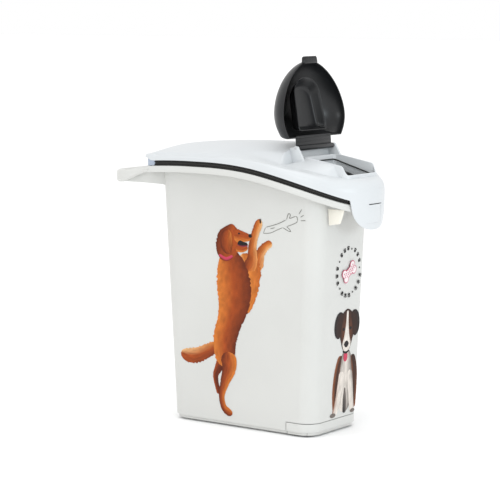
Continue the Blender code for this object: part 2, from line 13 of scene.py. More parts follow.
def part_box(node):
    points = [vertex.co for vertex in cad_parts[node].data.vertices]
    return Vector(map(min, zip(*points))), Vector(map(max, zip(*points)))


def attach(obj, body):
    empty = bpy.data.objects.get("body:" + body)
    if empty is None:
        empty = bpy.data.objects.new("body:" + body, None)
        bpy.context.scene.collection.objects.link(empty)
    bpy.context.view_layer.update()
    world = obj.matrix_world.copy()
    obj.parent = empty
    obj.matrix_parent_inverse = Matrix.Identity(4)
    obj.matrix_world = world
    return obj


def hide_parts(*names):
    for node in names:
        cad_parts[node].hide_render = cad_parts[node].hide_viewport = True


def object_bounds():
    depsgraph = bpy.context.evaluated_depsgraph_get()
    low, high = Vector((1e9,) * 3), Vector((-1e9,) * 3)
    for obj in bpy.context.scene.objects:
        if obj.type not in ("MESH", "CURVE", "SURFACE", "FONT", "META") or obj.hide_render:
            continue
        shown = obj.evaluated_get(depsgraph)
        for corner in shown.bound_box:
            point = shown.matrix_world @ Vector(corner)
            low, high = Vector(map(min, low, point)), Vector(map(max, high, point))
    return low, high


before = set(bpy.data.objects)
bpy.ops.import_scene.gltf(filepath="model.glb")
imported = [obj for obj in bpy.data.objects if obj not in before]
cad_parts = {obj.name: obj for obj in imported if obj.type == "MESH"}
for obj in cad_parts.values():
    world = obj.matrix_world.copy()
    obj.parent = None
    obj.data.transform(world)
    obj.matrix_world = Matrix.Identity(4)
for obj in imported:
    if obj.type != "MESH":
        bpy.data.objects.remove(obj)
CAD_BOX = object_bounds()


def rod_axis(node):
    """x and z of the middle of a packed rod that lies along Y."""
    low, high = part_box(node)
    return (low.x + high.x) / 2, (low.z + high.z) / 2


BIN_LOW, BIN_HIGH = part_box("bin_body")
LID_BOX_LOW, LID_BOX_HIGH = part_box("lid_shell")
CARRIER_LOW, CARRIER_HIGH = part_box("wheel_carrier")
LATCH_LOW, LATCH_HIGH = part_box("front_latch")
COLLAR_SEAL_LOW, COLLAR_SEAL_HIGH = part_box("spout_gasket")
LID_PIN, FLAP_PIN = rod_axis("lid_hinge_pin_left"), rod_axis("flap_hinge_pin")

# Tub walls
BASE_HALF = (0.153, 0.0755)
TOP_HALF = (0.173, 0.0845)
WALL_TOP = 0.44
WALL_CORNER, LEAST_CORNER = 0.030, 0.004
WALL, WALL_FILLET = 0.0025, 0.006
SKIRT_LOW = CARRIER_LOW.z
PLINTH_HIGH, PLINTH_INSET = 0.008, 0.0035
FLOOR_TOP = 0.006
FOOT_PAD = ((-0.145, -0.052), (0.030, 0.052))
CARRIER_REAR, CARRIER_TOP = CARRIER_LOW.x, CARRIER_HIGH.z
PARTING = 0.0011
RIB_OUTLINE = [(0.174, 0.367), (0.196, 0.371), (0.2045, 0.395), (0.172, 0.395)]
RIB_SPAN = (0.0525, 0.0560)
CHEEK_HALF, CHEEK_LOW, CHEEK_HIGH = (0.009, 0.001), 0.0045, 0.0245  # halves along x and y

# Rim and seam
RIM_REAR, RIM_FRONT, RIM_HALF = -0.186, 0.2245, BIN_HIGH.y
REAR_CORNER = 0.022
NOSE_START, NOSE_FLAT = 0.081, 0.004  # the plan's front is half an ellipse from NOSE_START on
SEAM_TOP, SEAM_START, SEAM_FALL, SEAM_POWER = 0.4632, -0.055, 1.151, 2.3
SEAM_REAR, SEAM_SAG = -0.080, 0.4356
SEAM_HALF = 0.0047
SKIRT_DROP = 0.016
GAP = 0.0003

# Handle
HANDLE_REAR = BIN_LOW.x
HANDLE_CORNER, HANDLE_BAR = 0.045, 0.017
HANDLE_MID, HANDLE_HALF_HEIGHT, HANDLE_SOFT = 0.433, 0.0115, 0.0055
GUSSET_ROOT, GUSSET_TIP, GUSSET_HALF = (-0.163, 0.069), (-0.236, 0.103), 0.0014

# Lid
LID_REAR, LID_HALF, LID_FRONT = LID_BOX_LOW.x, LID_BOX_HIGH.y, LID_BOX_HIGH.x - 0.0002
LID_CORNER = 0.024
LID_SKIN = 0.0025
CREST_TOP, CREST_X, CREST_CURVE, CREST_REAR, CREST_DROP = 0.5005, 0.012, 0.33, -0.150, 1.6
SHOULDER_TOP, SHOULDER_START, SHOULDER_SOFT, SHOULDER_SLOPE = 0.4775, 0.055, 0.045, 0.09
DOME_POWER, NOSE_TOP = 2.3, 0.4525
DECK_REAR, DECK_REACH, DECK_HALF, DECK_SOFT = 0.0985, 0.130, 0.095, 0.0030
COLLAR = (0.112, 0.207, 0.049, 0.012)  # rear, front, half width and front corner radius
COLLAR_WALL, LIP_SOFT = 0.0035, 0.0014
APRON_TOP, APRON_HALF, APRON_DROP, APRON_START = 0.412, 0.052, 0.053, 0.16
LUG_SPAN, KNUCKLE = (0.0772, 0.0848), 0.0044

# Flap, open at rest: s runs up from its axis, n points forward out of its mouth
FLAP_LEAN = radians(5)
FLAP_LOW, FLAP_WIDE, FLAP_TIP, FLAP_MID = 0.017, 0.054, 0.1485, 0.068
FLAP_HALF, FLAP_LOW_HALF = 0.094, 0.079
FLAP_DEPTH, FLAP_SKIN, NECK_HALF, FLAP_BOW = 0.050, 0.0022, 0.052, 0.003

# Scoop
SCOOP_S = (0.0285, 0.121)
SCOOP_HALF = (0.042, 0.038)  # near the flap's axis and near its tip
SCOOP_BACK, SCOOP_TILT, SCOOP_DEPTH, SCOOP_SKIN = 0.001, 0.12, 0.019, 0.002

# Ink colours of the printed animals
RUST, UMBER, AMBER = (0.34, 0.060, 0.008), (0.12, 0.018, 0.004), (0.60, 0.180, 0.028)
CREAM, INK, ROSE = (0.80, 0.50, 0.24), (0.012, 0.010, 0.011), (0.55, 0.05, 0.10)
WHITE_FUR, GREY_FUR, TAN = (0.72, 0.66, 0.60), (0.17, 0.145, 0.13), (0.26, 0.075, 0.022)
BARK, COCOA = (0.20, 0.20, 0.18), (0.028, 0.010, 0.006)

CENTIMETRE = 0.01


# ---- materials ----


def new_material(name, color, roughness, metallic=0.0, sheen=0.5):
    """A material with plain values, its node tree and its shader node."""
    made = bpy.data.materials.new(name)
    made.use_nodes = True
    shader = made.node_tree.nodes["Principled BSDF"]
    shader.inputs["Base Color"].default_value = (*color, 1)
    shader.inputs["Roughness"].default_value = roughness
    shader.inputs["Metallic"].default_value = metallic
    shader.inputs["Specular IOR Level"].default_value = sheen
    return made, made.node_tree, shader


def noise_node(tree, scale, detail=3.0, stretch=(1, 1, 1)):
    """Noise in the object's own space, stretched along an axis where its factor is small."""
    place = tree.nodes.new("ShaderNodeTexCoord")
    mapping = tree.nodes.new("ShaderNodeMapping")
    mapping.inputs["Scale"].default_value = stretch
    grain = tree.nodes.new("ShaderNodeTexNoise")
    grain.inputs["Scale"].default_value = scale
    grain.inputs["Detail"].default_value = detail
    tree.links.new(place.outputs["Object"], mapping.inputs["Vector"])
    tree.links.new(mapping.outputs["Vector"], grain.inputs["Vector"])
    return grain.outputs["Fac"]


def ramp(tree, source, stops):
    """A colour ramp with (position, colour) stops."""
    node = tree.nodes.new("ShaderNodeValToRGB")
    node.color_ramp.elements[0].position = stops[0][0]
    node.color_ramp.elements[0].color = (*stops[0][1], 1)
    node.color_ramp.elements[1].position = stops[-1][0]
    node.color_ramp.elements[1].color = (*stops[-1][1], 1)
    for position, color in stops[1:-1]:
        node.color_ramp.elements.new(position).color = (*color, 1)
    tree.links.new(source, node.inputs["Fac"])
    return node.outputs["Color"]


def scaled(tree, source, low, high):
    """The part of a noise's range that it mostly fills, 0.3 to 0.7, spread over low to high."""
    node = tree.nodes.new("ShaderNodeMapRange")
    limits = {"From Min": 0.3, "From Max": 0.7, "To Min": low, "To Max": high}
    for key, value in limits.items():
        node.inputs[key].default_value = value
    tree.links.new(source, node.inputs["Value"])
    return node.outputs["Result"]


def bump(tree, shader, source, strength, distance):
    """Relief from a pattern, with its height in metres."""
    node = tree.nodes.new("ShaderNodeBump")
    node.inputs["Strength"].default_value = strength
    node.inputs["Distance"].default_value = distance
    tree.links.new(source, node.inputs["Height"])
    tree.links.new(node.outputs["Normal"], shader.inputs["Normal"])


def textured(tree, shader, tone, stops, grain, gloss, relief):
    """Gives a shader colours from one pattern, and roughness and relief from another."""
    tree.links.new(ramp(tree, tone, stops), shader.inputs["Base Color"])
    tree.links.new(scaled(tree, grain, *gloss), shader.inputs["Roughness"])
    bump(tree, shader, grain, *relief)


def moulded_plastic(name, dark, light, roughness, grain=900.0, depth=0.00004, sheen=0.5):
    """Moulded plastic: faint cloudy colour, a fine spark-eroded grain and an uneven sheen."""
    made, tree, shader = new_material(name, light, roughness, sheen=sheen)
    clouds, fine = noise_node(tree, 7.0, 2.0), noise_node(tree, grain, 2.0)
    gloss = (roughness - 0.04, roughness + 0.05)
    textured(tree, shader, clouds, [(0.35, dark), (0.65, light)], fine, gloss, (0.25, depth))
    return made


def rubber(name, dark, light):
    """Matte rubber with a fine mottle and dusty bloom."""
    made, tree, shader = new_material(name, dark, 0.7, sheen=0.25)
    mottle = noise_node(tree, 240.0, 4.0)
    textured(tree, shader, mottle, [(0.3, dark), (0.75, light)], mottle, (0.6, 0.8), (0.3, 0.0001))
    return made


def drawn_steel(name):
    """Steel rod with fine draw marks along Y."""
    made, tree, shader = new_material(name, (0.56, 0.56, 0.58), 0.3, 1.0)
    marks = noise_node(tree, 1600.0, 3.0, (1, 0.02, 1))
    tones = [(0.3, (0.42, 0.42, 0.44)), (0.7, (0.66, 0.66, 0.68))]
    textured(tree, shader, marks, tones, marks, (0.22, 0.4), (0.2, 0.00002))
    return made


def printed_ink(name):
    """Ink whose colour is painted on the mesh, with a fine screen-print mottle over it."""
    made, tree, shader = new_material(name, (0.5, 0.5, 0.5), 0.45, sheen=0.2)
    paint = tree.nodes.new("ShaderNodeAttribute")
    paint.attribute_name = "ink"
    mottle = noise_node(tree, 700.0, 3.0)
    mix = tree.nodes.new("ShaderNodeMix")
    mix.data_type = "RGBA"
    mix.blend_type = "MULTIPLY"
    mix.inputs["Factor"].default_value = 1.0
    tree.links.new(paint.outputs["Color"], mix.inputs["A"])
    tree.links.new(ramp(tree, mottle, [(0.3, (0.86,) * 3), (0.7, (1, 1, 1))]), mix.inputs["B"])
    tree.links.new(mix.outputs["Result"], shader.inputs["Base Color"])
    tree.links.new(scaled(tree, mottle, 0.42, 0.52), shader.inputs["Roughness"])
    return made


# ---- mesh helpers ----


def linked(name, data):
    """A new object in the scene."""
    obj = bpy.data.objects.new(name, data)
    bpy.context.scene.collection.objects.link(obj)
    return obj


def mesh_object(name, verts, faces, mat, sharp=32):
    mesh = bpy.data.meshes.new(name)
    mesh.from_pydata([tuple(v) for v in verts], [], faces)
    work = bmesh.new()
    work.from_mesh(mesh)
    bmesh.ops.remove_doubles(work, verts=work.verts, dist=1e-6)
    bmesh.ops.dissolve_degenerate(work, edges=work.edges, dist=1e-7)
    bmesh.ops.recalc_face_normals(work, faces=work.faces)
    work.to_mesh(mesh)
    work.free()
    mesh.materials.append(mat)
    mesh.shade_smooth()
    mesh.set_sharp_from_angle(angle=radians(sharp))
    return linked(name, mesh)


def loft(rings, cap=True, loop=False):
    """Vertices and faces of a skin over rings, with flat ends, open ends, or round in a loop."""
    count = len(rings[0])
    verts = [p for ring in rings for p in ring]
    faces = []
    for k in range(len(rings) if loop else len(rings) - 1):
        low, high = k * count, (k + 1) % len(rings) * count
        for i in range(count):
            j = (i + 1) % count
            faces.append((low + i, low + j, high + j, high + i))
    if cap and not loop:
        faces.append(tuple(reversed(range(count))))
        faces.append(tuple(range(len(verts) - count, len(verts))))
    return verts, faces


def block(name, low, high, mat, soft=0.0):
    """A box whose edges are rounded when soft is given."""
    plan = [(low[0], low[1]), (high[0], low[1]), (high[0], high[1]), (low[0], high[1])]
    obj = prism(name, plan, low[2], high[2], mat)
    return soften(obj, soft, 3) if soft else obj


def prism(name, plan, low, high, mat):
    """An upright solid with a plan in x and y."""
    return mesh_object(name, *loft([[(x, y, z) for x, y in plan] for z in (low, high)]), mat)


def modify(obj, kind, **settings):
    """Adds a modifier, applies it and shades the result."""
    modifier = obj.modifiers.new(kind, kind)
    for key, value in settings.items():
        setattr(modifier, key, value)
    bpy.context.view_layer.update()
    graph = bpy.context.evaluated_depsgraph_get()
    mesh = bpy.data.meshes.new_from_object(obj.evaluated_get(graph))
    obj.modifiers.clear()
    obj.data = mesh
    mesh.shade_smooth()
    mesh.set_sharp_from_angle(angle=radians(32))
    return obj


def soften(obj, width, segments=2, **settings):
    """Rounds the sharp edges."""
    return modify(obj, "BEVEL", width=width, segments=segments, limit_method="ANGLE", **settings)


def cut(obj, cutter):
    """Takes the cutter's shape out of an object and removes the cutter."""
    before = len(obj.data.polygons)
    modify(obj, "BOOLEAN", operation="DIFFERENCE", solver="EXACT", object=cutter)
    if len(obj.data.polygons) < before / 2:
        raise RuntimeError(f"the cut in {obj.name} lost its shape")
    bpy.data.objects.remove(cutter)


def merge(name, objects):
    """One object from several, each keeping its material."""
    mesh = bpy.data.meshes.new(name)
    work = bmesh.new()
    for obj in objects:
        index = len(mesh.materials)
        mesh.materials.append(obj.data.materials[0])
        start = len(work.faces)
        work.from_mesh(obj.data)
        work.faces.ensure_lookup_table()
        for face in work.faces[start:]:
            face.material_index = index
        bpy.data.objects.remove(obj)
    work.to_mesh(mesh)
    work.free()
    return linked(name, mesh)


def place(obj, body, slot, *nodes):
    """Rides on a body and stands for the named nodes. The slot is not used."""
    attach(obj, body)
    if nodes:
        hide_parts(*nodes)
    return obj


# ---- shape rules ----


def ease(low, high, value):
    t = min(max((value - low) / (high - low), 0.0), 1.0)
    return t * t * (3 - 2 * t)


def soft_min(a, b, k):
    """The lower of two values, blended where they are within k of each other."""
    h = max(k - abs(a - b), 0.0) / k
    return min(a, b) - h * h * k / 4


def mixed(a, b, f):
    return tuple(p + (q - p) * f for p, q in zip(a, b))


def span(side, a, b):
    """Two distances from the middle as y on one side, in rising order."""
    return sorted((side * a, side * b))


def arc(cx, cy, rx, ry, start, turn, steps):
    """Points along an elliptical arc, with both ends."""
    angles = [start + k * turn / steps for k in range(steps + 1)]
    return [(cx + rx * cos(t), cy + ry * sin(t)) for t in angles]


def between(a, b, steps):
    """Points that divide a straight line, without its ends."""
    return [tuple(p + (q - p) * k / steps for p, q in zip(a, b)) for k in range(1, steps)]


def mirrored(half):
    """A closed outline from its left half, which starts and ends on the middle line."""
    return half + [(s, -y) for s, y in reversed(half[1:-1])]


def rounded(rear, front, half, r_rear, r_front, side=44, corner=10, end=10, nose=32):
    """A rounded rectangle in plan, anticlockwise from the right rear corner.

    r_front is one radius, or a pair of them along x and y for an elliptical front.
    """
    rx, ry = r_front if isinstance(r_front, tuple) else (r_front, r_front)
    low, high = -half + r_rear, half - r_rear
    return [
        *arc(rear + r_rear, low, r_rear, r_rear, pi, pi / 2, corner),
        *between((rear + r_rear, -half), (front - rx, -half), side),
        *arc(front - rx, -half + ry, rx, ry, -pi / 2, pi / 2, nose),
        *between((front, -half + ry), (front, half - ry), end),
        *arc(front - rx, half - ry, rx, ry, 0, pi / 2, nose),
        *between((front - rx, half), (rear + r_rear, half), side),
        *arc(rear + r_rear, high, r_rear, r_rear, pi / 2, pi / 2, corner),
        *between((rear, high), (rear, low), end),
    ]


def seam(x):
    """Height of the middle of the seam between tub and lid."""
    fall = SEAM_FALL * max(0.0, x - SEAM_START) ** SEAM_POWER
    return SEAM_TOP - fall - SEAM_SAG * min(0.0, x - SEAM_REAR) ** 2


def below_seam(drop):
    """A rule for heights at a drop below the middle of the seam."""
    return lambda x: seam(x) - drop


def bowed(rear, front, half, r_rear, inset=0.0, **steps):
    """The plan shared by rim, seal and lid: round rear corners and a front like half an ellipse."""
    nose = (front - NOSE_START - inset, half - NOSE_FLAT - inset)
    return rounded(rear + inset, front - inset, half - inset, r_rear - inset, nose, **steps)


def wall_ring(height, inset=0.0):
    """A ring on the tapering walls. height is a number or a function of x."""
    def at(sizes):
        radius = max(WALL_CORNER - inset, LEAST_CORNER)
        return rounded(-sizes[0] + inset, sizes[0] - inset, sizes[1] - inset, radius, radius)

    ring = []
    for (x0, y0), (x1, y1) in zip(at(BASE_HALF), at(TOP_HALF)):
        z = height(x1) if callable(height) else height
        f = z / WALL_TOP
        ring.append((x0 + (x1 - x0) * f, y0 + (y1 - y0) * f, z))
    return ring


def rim_ring(drop, inset=0.0):
    """A ring on the rim's plan, at a drop below the seam."""
    plan = bowed(RIM_REAR, RIM_FRONT, RIM_HALF, REAR_CORNER, inset)
    return [(x, y, seam(x) - drop) for x, y in plan]


def wall_side(z, axis=1):
    """Distance of the side walls from the middle at a height, or of the end walls on axis 0."""
    return BASE_HALF[axis] + (TOP_HALF[axis] - BASE_HALF[axis]) * z / WALL_TOP


# ---- tub ----


def tub_shell(mat):
    """One closed skin: up the outside of the walls, round the rim, and down the inside."""
    plate, under, skirt = SEAM_HALF, SEAM_HALF + WALL, SKIRT_DROP
    plinth = (
        (SKIRT_LOW, PLINTH_INSET + 0.0014), (SKIRT_LOW + 0.0004, PLINTH_INSET + 0.0004),
        (SKIRT_LOW + 0.0014, PLINTH_INSET), (PLINTH_HIGH - 0.0006, PLINTH_INSET),
        (PLINTH_HIGH, PLINTH_INSET - 0.0006), (PLINTH_HIGH + 0.0002, 0.0010), (PLINTH_HIGH + 0.0012, 0.0),
    )
    rim = (
        (under, WALL + 0.001), (under + 0.001, WALL), (skirt - 0.0006, WALL), (skirt, WALL - 0.0005),
        (skirt, 0.0007), (skirt - 0.0003, 0.0002), (skirt - 0.0008, 0.0), (plate + 0.0012, 0.0),
        (plate + 0.0004, 0.0003), (plate, 0.0012),
    )
    lip = ((plate, WALL - 0.0012), (plate + 0.0004, WALL - 0.0003), (plate + 0.0014, WALL))
    floor = (
        (FLOOR_TOP + 0.006, WALL + 0.0002), (FLOOR_TOP + 0.0018, WALL + 0.002), (FLOOR_TOP, WALL + 0.007),
    )
    rings = [wall_ring(*row) for row in plinth] + [wall_ring(0.03 * k) for k in range(1, 13)]
    for k in range(6):
        t = k * pi / 10
        height = below_seam(under + WALL_FILLET * (1 - sin(t)))
        rings.append(wall_ring(height, -WALL_FILLET * (1 - cos(t))))
    rings += [rim_ring(*row) for row in rim]
    rings += [wall_ring(below_seam(drop), inset) for drop, inset in lip]
    rings += [wall_ring(0.06 * k, WALL) for k in range(6, 0, -1)]
    rings += [wall_ring(*row) for row in floor]
    return mesh_object("tub", *loft(rings), mat)


def handle_bar(mat):
    """The carrying handle: a rounded bar that runs level round the rear and rises into the rim."""
    bar = HANDLE_BAR / 2
    half, r, rear = RIM_HALF - bar, HANDLE_CORNER - bar, HANDLE_REAR + bar
    arm = [(RIM_REAR + 0.016, -half), *between((RIM_REAR + 0.016, -half), (rear + r, -half), 12)]
    path = [(point, (0, -1)) for point in arm]
    for nx, ny in arc(0, 0, 1, 1, -pi / 2, -pi / 2, 16):
        path.append(((rear + r + r * nx, -half + r + r * ny), (nx, ny)))
    path += [((rear, (half - r) * (k / 6 - 1)), (-1, 0)) for k in range(1, 7)]
    path += [((x, -y), (nx, -ny)) for (x, y), (nx, ny) in reversed(path[:-1])]
    high, low = HANDLE_MID + HANDLE_HALF_HEIGHT, HANDLE_MID - HANDLE_HALF_HEIGHT
    rings = []
    for (x, y), (nx, ny) in path:
        f = ease(HANDLE_REAR + 0.01, RIM_REAR + 0.012, x)
        top = high + f * (seam(x) - SEAM_HALF - 0.0006 - high)
        bottom = low + f * (seam(x) - SKIRT_DROP + 0.0006 - low)
        section = round_section(bar - 0.0002, bottom, top, HANDLE_SOFT)
        rings.append([(x + nx * u, y + ny * u, z) for u, z in section])
    return mesh_object("handle", *loft(rings), mat)


def round_section(half, low, high, r):
    """A rounded rectangle as (across, up) points."""
    centres = ((half - r, high - r), (r - half, high - r), (r - half, low + r), (half - r, low + r))
    quarters = [arc(u, z, r, r, k * pi / 2, pi / 2, 5) for k, (u, z) in enumerate(centres)]
    return [point for quarter in quarters for point in quarter]


def gusset(side, mat):
    """A thin web from the rear corner of the walls out to one handle arm."""
    rings = []
    for k in range(13):
        f = k / 12
        x, y = mixed(GUSSET_ROOT, GUSSET_TIP, f)
        low, high = 0.4175 + 0.0065 * sqrt(f), 0.4475 - 0.0155 * f
        inner, outer = side * y - GUSSET_HALF, side * y + GUSSET_HALF
        rings.append([(x, inner, low), (x, outer, low), (x, outer, high), (x, inner, high)])
    return mesh_object("gusset", *loft(rings), mat)


def make_tub(mat, lit_rib_tone, dark):
    """The tub, its handle and gussets, the pocket for the front foot, hinge lugs and ribs. The ribs are
    painted lighter than the tub as light on their sides; the shelf and riser in the parting gap are painted
    near-black shade.
    """
    pocket_rear, pocket_top, beyond = CARRIER_REAR - PARTING, CARRIER_TOP + PARTING, 0.2
    shell = tub_shell(mat)
    cut(shell, block("pocket", (pocket_rear, -beyond, -0.01), (beyond, beyond, pocket_top), mat))
    front, side = (wall_side(pocket_top, axis) - WALL / 2 for axis in (0, 1))
    plan = rounded(CARRIER_REAR - WALL, front, side, 0.004, WALL_CORNER - WALL)
    handle = [handle_bar(mat), gusset(1, mat), gusset(-1, mat)]
    # The shelf and riser get near-black painted shade, so the parting gap above the front foot reads as a
    # dark line.
    shelf = prism("shelf", plan, pocket_top, pocket_top + WALL, dark)
    half = wall_side(0) - PLINTH_INSET - 0.004
    low, high = (pocket_rear - WALL, -half, SKIRT_LOW + 0.0004), (pocket_rear, half, pocket_top + WALL)
    riser = block("riser", low, high, dark)
    pad = block("foot_pad", (*FOOT_PAD[0], 0), (*FOOT_PAD[1], FLOOR_TOP - 0.001), mat, 0.0008)
    pieces = [shell, *handle, shelf, riser, pad]
    lug_x, lug_z = LID_PIN
    lug_half, lug_low = 0.0028, seam(lug_x) - SEAM_HALF - 0.001
    for sign in (-1, 1):
        y0, y1 = span(sign, 0.078, 0.084)
        low, high = (lug_x - lug_half, y0, lug_low), (lug_x + lug_half, y1, lug_z + lug_half)
        pieces.append(block("lug", low, high, mat, 0.0006))
        # The ribs take a brighter, warmer copy of the tub plastic: painted light on their side faces.
        pieces.append(profile_plate("rib", RIB_OUTLINE, *(sign * y for y in RIB_SPAN), lit_rib_tone, 0.0008))
    return place(merge("tub_moulding", pieces), "bin", "tub_plastic", "bin_body")


def make_carrier(mat):
    """The clip-in front foot: a band round the front corners and cheeks for the two rollers."""

    def ring(z, inset, proud=0.0008):
        front, side = BASE_HALF[0] + proud - inset, BASE_HALF[1] + proud - inset
        plan = rounded(CARRIER_REAR, front, side, 0.001, WALL_CORNER - inset, side=10, corner=12)
        return [(x, y, z) for x, y in plan]

    rows = (
        (SKIRT_LOW, PLINTH_INSET + 0.0012), (SKIRT_LOW + 0.0004, PLINTH_INSET + 0.0003),
        (SKIRT_LOW + 0.0012, PLINTH_INSET), (PLINTH_HIGH - 0.0004, PLINTH_INSET),
        (PLINTH_HIGH, PLINTH_INSET - 0.0006), (PLINTH_HIGH + 0.0003, 0.0008), (PLINTH_HIGH + 0.0012, 0.0),
        (CARRIER_TOP - 0.0010, 0.0), (CARRIER_TOP - 0.0003, 0.0003), (CARRIER_TOP, 0.0010),
    )
    carrier = mesh_object("wheel_carrier_moulding", *loft([ring(*row) for row in rows]), mat)
    inner = PLINTH_INSET + 0.004
    low = (CARRIER_REAR + 0.003, -BASE_HALF[1] + inner, -0.01)
    high = (BASE_HALF[0] - inner - 0.006, BASE_HALF[1] - inner, CARRIER_TOP - 0.003)
    cut(carrier, block("hollow", low, high, mat))
    left_low, left_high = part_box("roller_left")
    centre, (reach, half) = (left_low.x + left_high.x) / 2, CHEEK_HALF
    pieces = [carrier]
    for side in (-1, 1):
        for y in (side * (left_low.y - 0.002), side * (left_high.y + 0.002)):
            low, high = (centre - reach, y - half, CHEEK_LOW), (centre + reach, y + half, CHEEK_HIGH)
            pieces.append(block("cheek", low, high, mat, 0.0004))
    return place(merge("wheel_carrier_moulding", pieces), "bin", "tub_plastic", "wheel_carrier")


# ---- lid ----


def crest(x):
    """Height of the dome along the middle line."""
    return CREST_TOP - CREST_CURVE * (x - CREST_X) ** 2 - CREST_DROP * max(0.0, CREST_REAR - x) ** 1.5


def shoulder(x):
    """Height of the lid at its long edges."""
    level = SHOULDER_TOP - 0.0035 * ease(0.150, 0.188, -x) - 0.005 * ease(0.13, 0.20, x)
    t = x - SHOULDER_START
    return level - SHOULDER_SLOPE * (t + hypot(t, SHOULDER_SOFT)) * ease(-0.05, 0.06, x)


def deck_ellipse(x, y):
    """Distance outside the ellipse that bounds the deck, negative inside it."""
    ex, ey = max(x - NOSE_START, 0.0) / DECK_REACH, y / DECK_HALF
    size = max(hypot(ex, ey), 0.01)
    return (size - 1) * size / max(hypot(ex / DECK_REACH, ey / DECK_HALF), 0.01)


def lid_top(x, y):
    """The lid's outer surface: an arched dome, a deck rising to the spout's collar, and a falling nose."""
    low, edge = shoulder(x), deck_ellipse(x, y)
    arch = 1 - min(abs(y) / LID_HALF, 1.0) ** DOME_POWER
    fade = 1 - ease(0.0, 0.12, x) * ease(-0.02, 0.0, edge)
    side_step = ease(0.106, 0.109, abs(y)) * ease(-0.158, -0.153, x) * (1 - ease(-0.06, 0.03, x))
    dome = low + (crest(x) - low) * arch * fade - 0.003 * side_step
    outside = -soft_min(-edge, x - DECK_REAR, 0.020)
    rear, front, half, _ = COLLAR
    to_collar = hypot(max(rear - x, x - front, 0.0), max(abs(y) - half, 0.0))
    climb = max(-outside, 0.0) / max(to_collar - min(outside, 0.0), 0.001)
    deck = low + (collar_lip(x) - 0.0015 - low) * climb
    inside = 1 - ease(-DECK_SOFT, DECK_SOFT, outside)
    bead = 0.0011 * exp(-(((outside - 0.002) / 0.0028) ** 2))
    top = dome + (min(dome, deck) - dome) * inside + bead
    past = x - front + 0.003
    nose = NOSE_TOP + 1.35 * max(0.0, -past) - 0.8 * max(0.0, past)
    return soft_min(top, nose, 0.003)


def lid_edge(x, y):
    """The lid's lower edge: along the gasket, raised at the rear corners, and the apron's lobe in front."""
    along, a = seam(x) + SEAM_HALF + 0.006 * ease(0.158, 0.176, -x), abs(y)
    if x < APRON_START or a > APRON_HALF + 0.004:
        return along
    lobe = APRON_TOP + max(a - APRON_HALF, 0.0)
    if a <= APRON_HALF:
        lobe -= APRON_DROP * (1 - (a / APRON_HALF) ** 2.4) ** (1 / 2.4)
    return soft_min(along, lobe, 0.002)


def nose_x(y):
    """Reach of the lid's bowed front at a distance from the middle."""
    return NOSE_START + (LID_FRONT - NOSE_START) * sqrt(max(1 - (y / LID_HALF) ** 2, 0.0))


def lid_plan(count=400):
    """The lid's outline and its outward normals: rounded rear corners and a bowed front."""
    start = LID_REAR + LID_CORNER
    half = arc(start, -LID_HALF + LID_CORNER, LID_CORNER, LID_CORNER, pi, pi / 2, 40)
    half += between((start, -LID_HALF), (NOSE_START, -LID_HALF), 200)
    half += arc(NOSE_START, 0, LID_FRONT - NOSE_START, LID_HALF, -pi / 2, pi / 2, 200)
    outline = half + [(x, -y) for x, y in reversed(half[:-1])]
    return evenly(outline + outline[:1], count)


def running_lengths(points):
    """Distance along a line at each of its points."""
    lengths = [0.0]
    for a, b in zip(points, points[1:]):
        lengths.append(lengths[-1] + hypot(b[0] - a[0], b[1] - a[1]))
    return lengths


def evenly(points, count):
    """Points at equal steps along a closed line, with outward normals for an anticlockwise line."""
    lengths = running_lengths(points)
    made, i = [], 0
    for k in range(count):
        want = lengths[-1] * k / count
        while lengths[i + 1] < want:
            i += 1
        f = (want - lengths[i]) / max(lengths[i + 1] - lengths[i], 1e-9)
        made.append(mixed(points[i], points[i + 1], f))
    normals = []
    for k in range(count):
        (ax, ay), (bx, by) = made[k - 1], made[(k + 1) % count]
        size = hypot(bx - ax, by - ay)
        normals.append(((by - ay) / size, -(bx - ax) / size))
    return made, normals


def lid_surface(mat):
    """The lid's skin in rings: up its side, over its rounded edge, and in to the middle."""
    plan, normals = lid_plan()
    rings, side_rows, edge_rows, inner_rows, middle = [], 14, 6, 78, 0.02
    radius = [0.004 + 0.008 * ease(0.05, 0.16, x) + 0.012 * ease(0.15, 0.215, x) for x, _ in plan]
    inset = [(x - nx * r, y - ny * r) for (x, y), (nx, ny), r in zip(plan, normals, radius)]
    crown = [lid_top(*p) for p in inset]
    low = [lid_edge(x, y) for x, y in plan]
    for k in range(side_rows):
        ring = []
        for (x, y), z0, z1, r in zip(plan, low, crown, radius):
            z = z0 + (z1 - r - z0) * k / side_rows
            ring.append((x - lobe_lean(z), y, z))
        rings.append(ring)
    for k in range(edge_rows):
        t = k * pi / 2 / edge_rows
        ring = []
        for (x, y), (nx, ny), r, z in zip(plan, normals, radius, crown):
            i = r * (1 - cos(t))
            ring.append((x - nx * i, y - ny * i, z - r * (1 - sin(t))))
        rings.append(ring)
    for k in range(inner_rows):
        s = 1 - k / inner_rows
        points = [(middle + (x - middle) * s, y * s) for x, y in inset]
        rings.append([(x, y, lid_top(x, y)) for x, y in points])
    verts, faces = loft(rings, cap=False)
    faces.append(tuple(range(len(verts) - len(plan), len(verts))))
    return mesh_object("lid_surface", verts, faces, mat)


def lobe_lean(z):
    """How far the apron's face leans back towards its lower edge."""
    f = max(0.0, (0.42 - z) / 0.062)
    return 0.004 * f * f


def collar_lip(x):
    """Height of the spout's lip: a gentle slope with a low pouring edge in front."""
    sides = 0.479 - 0.17 * max(0.0, x - 0.128)
    return sides + (NOSE_TOP - sides) * ease(0.193, 0.204, x)


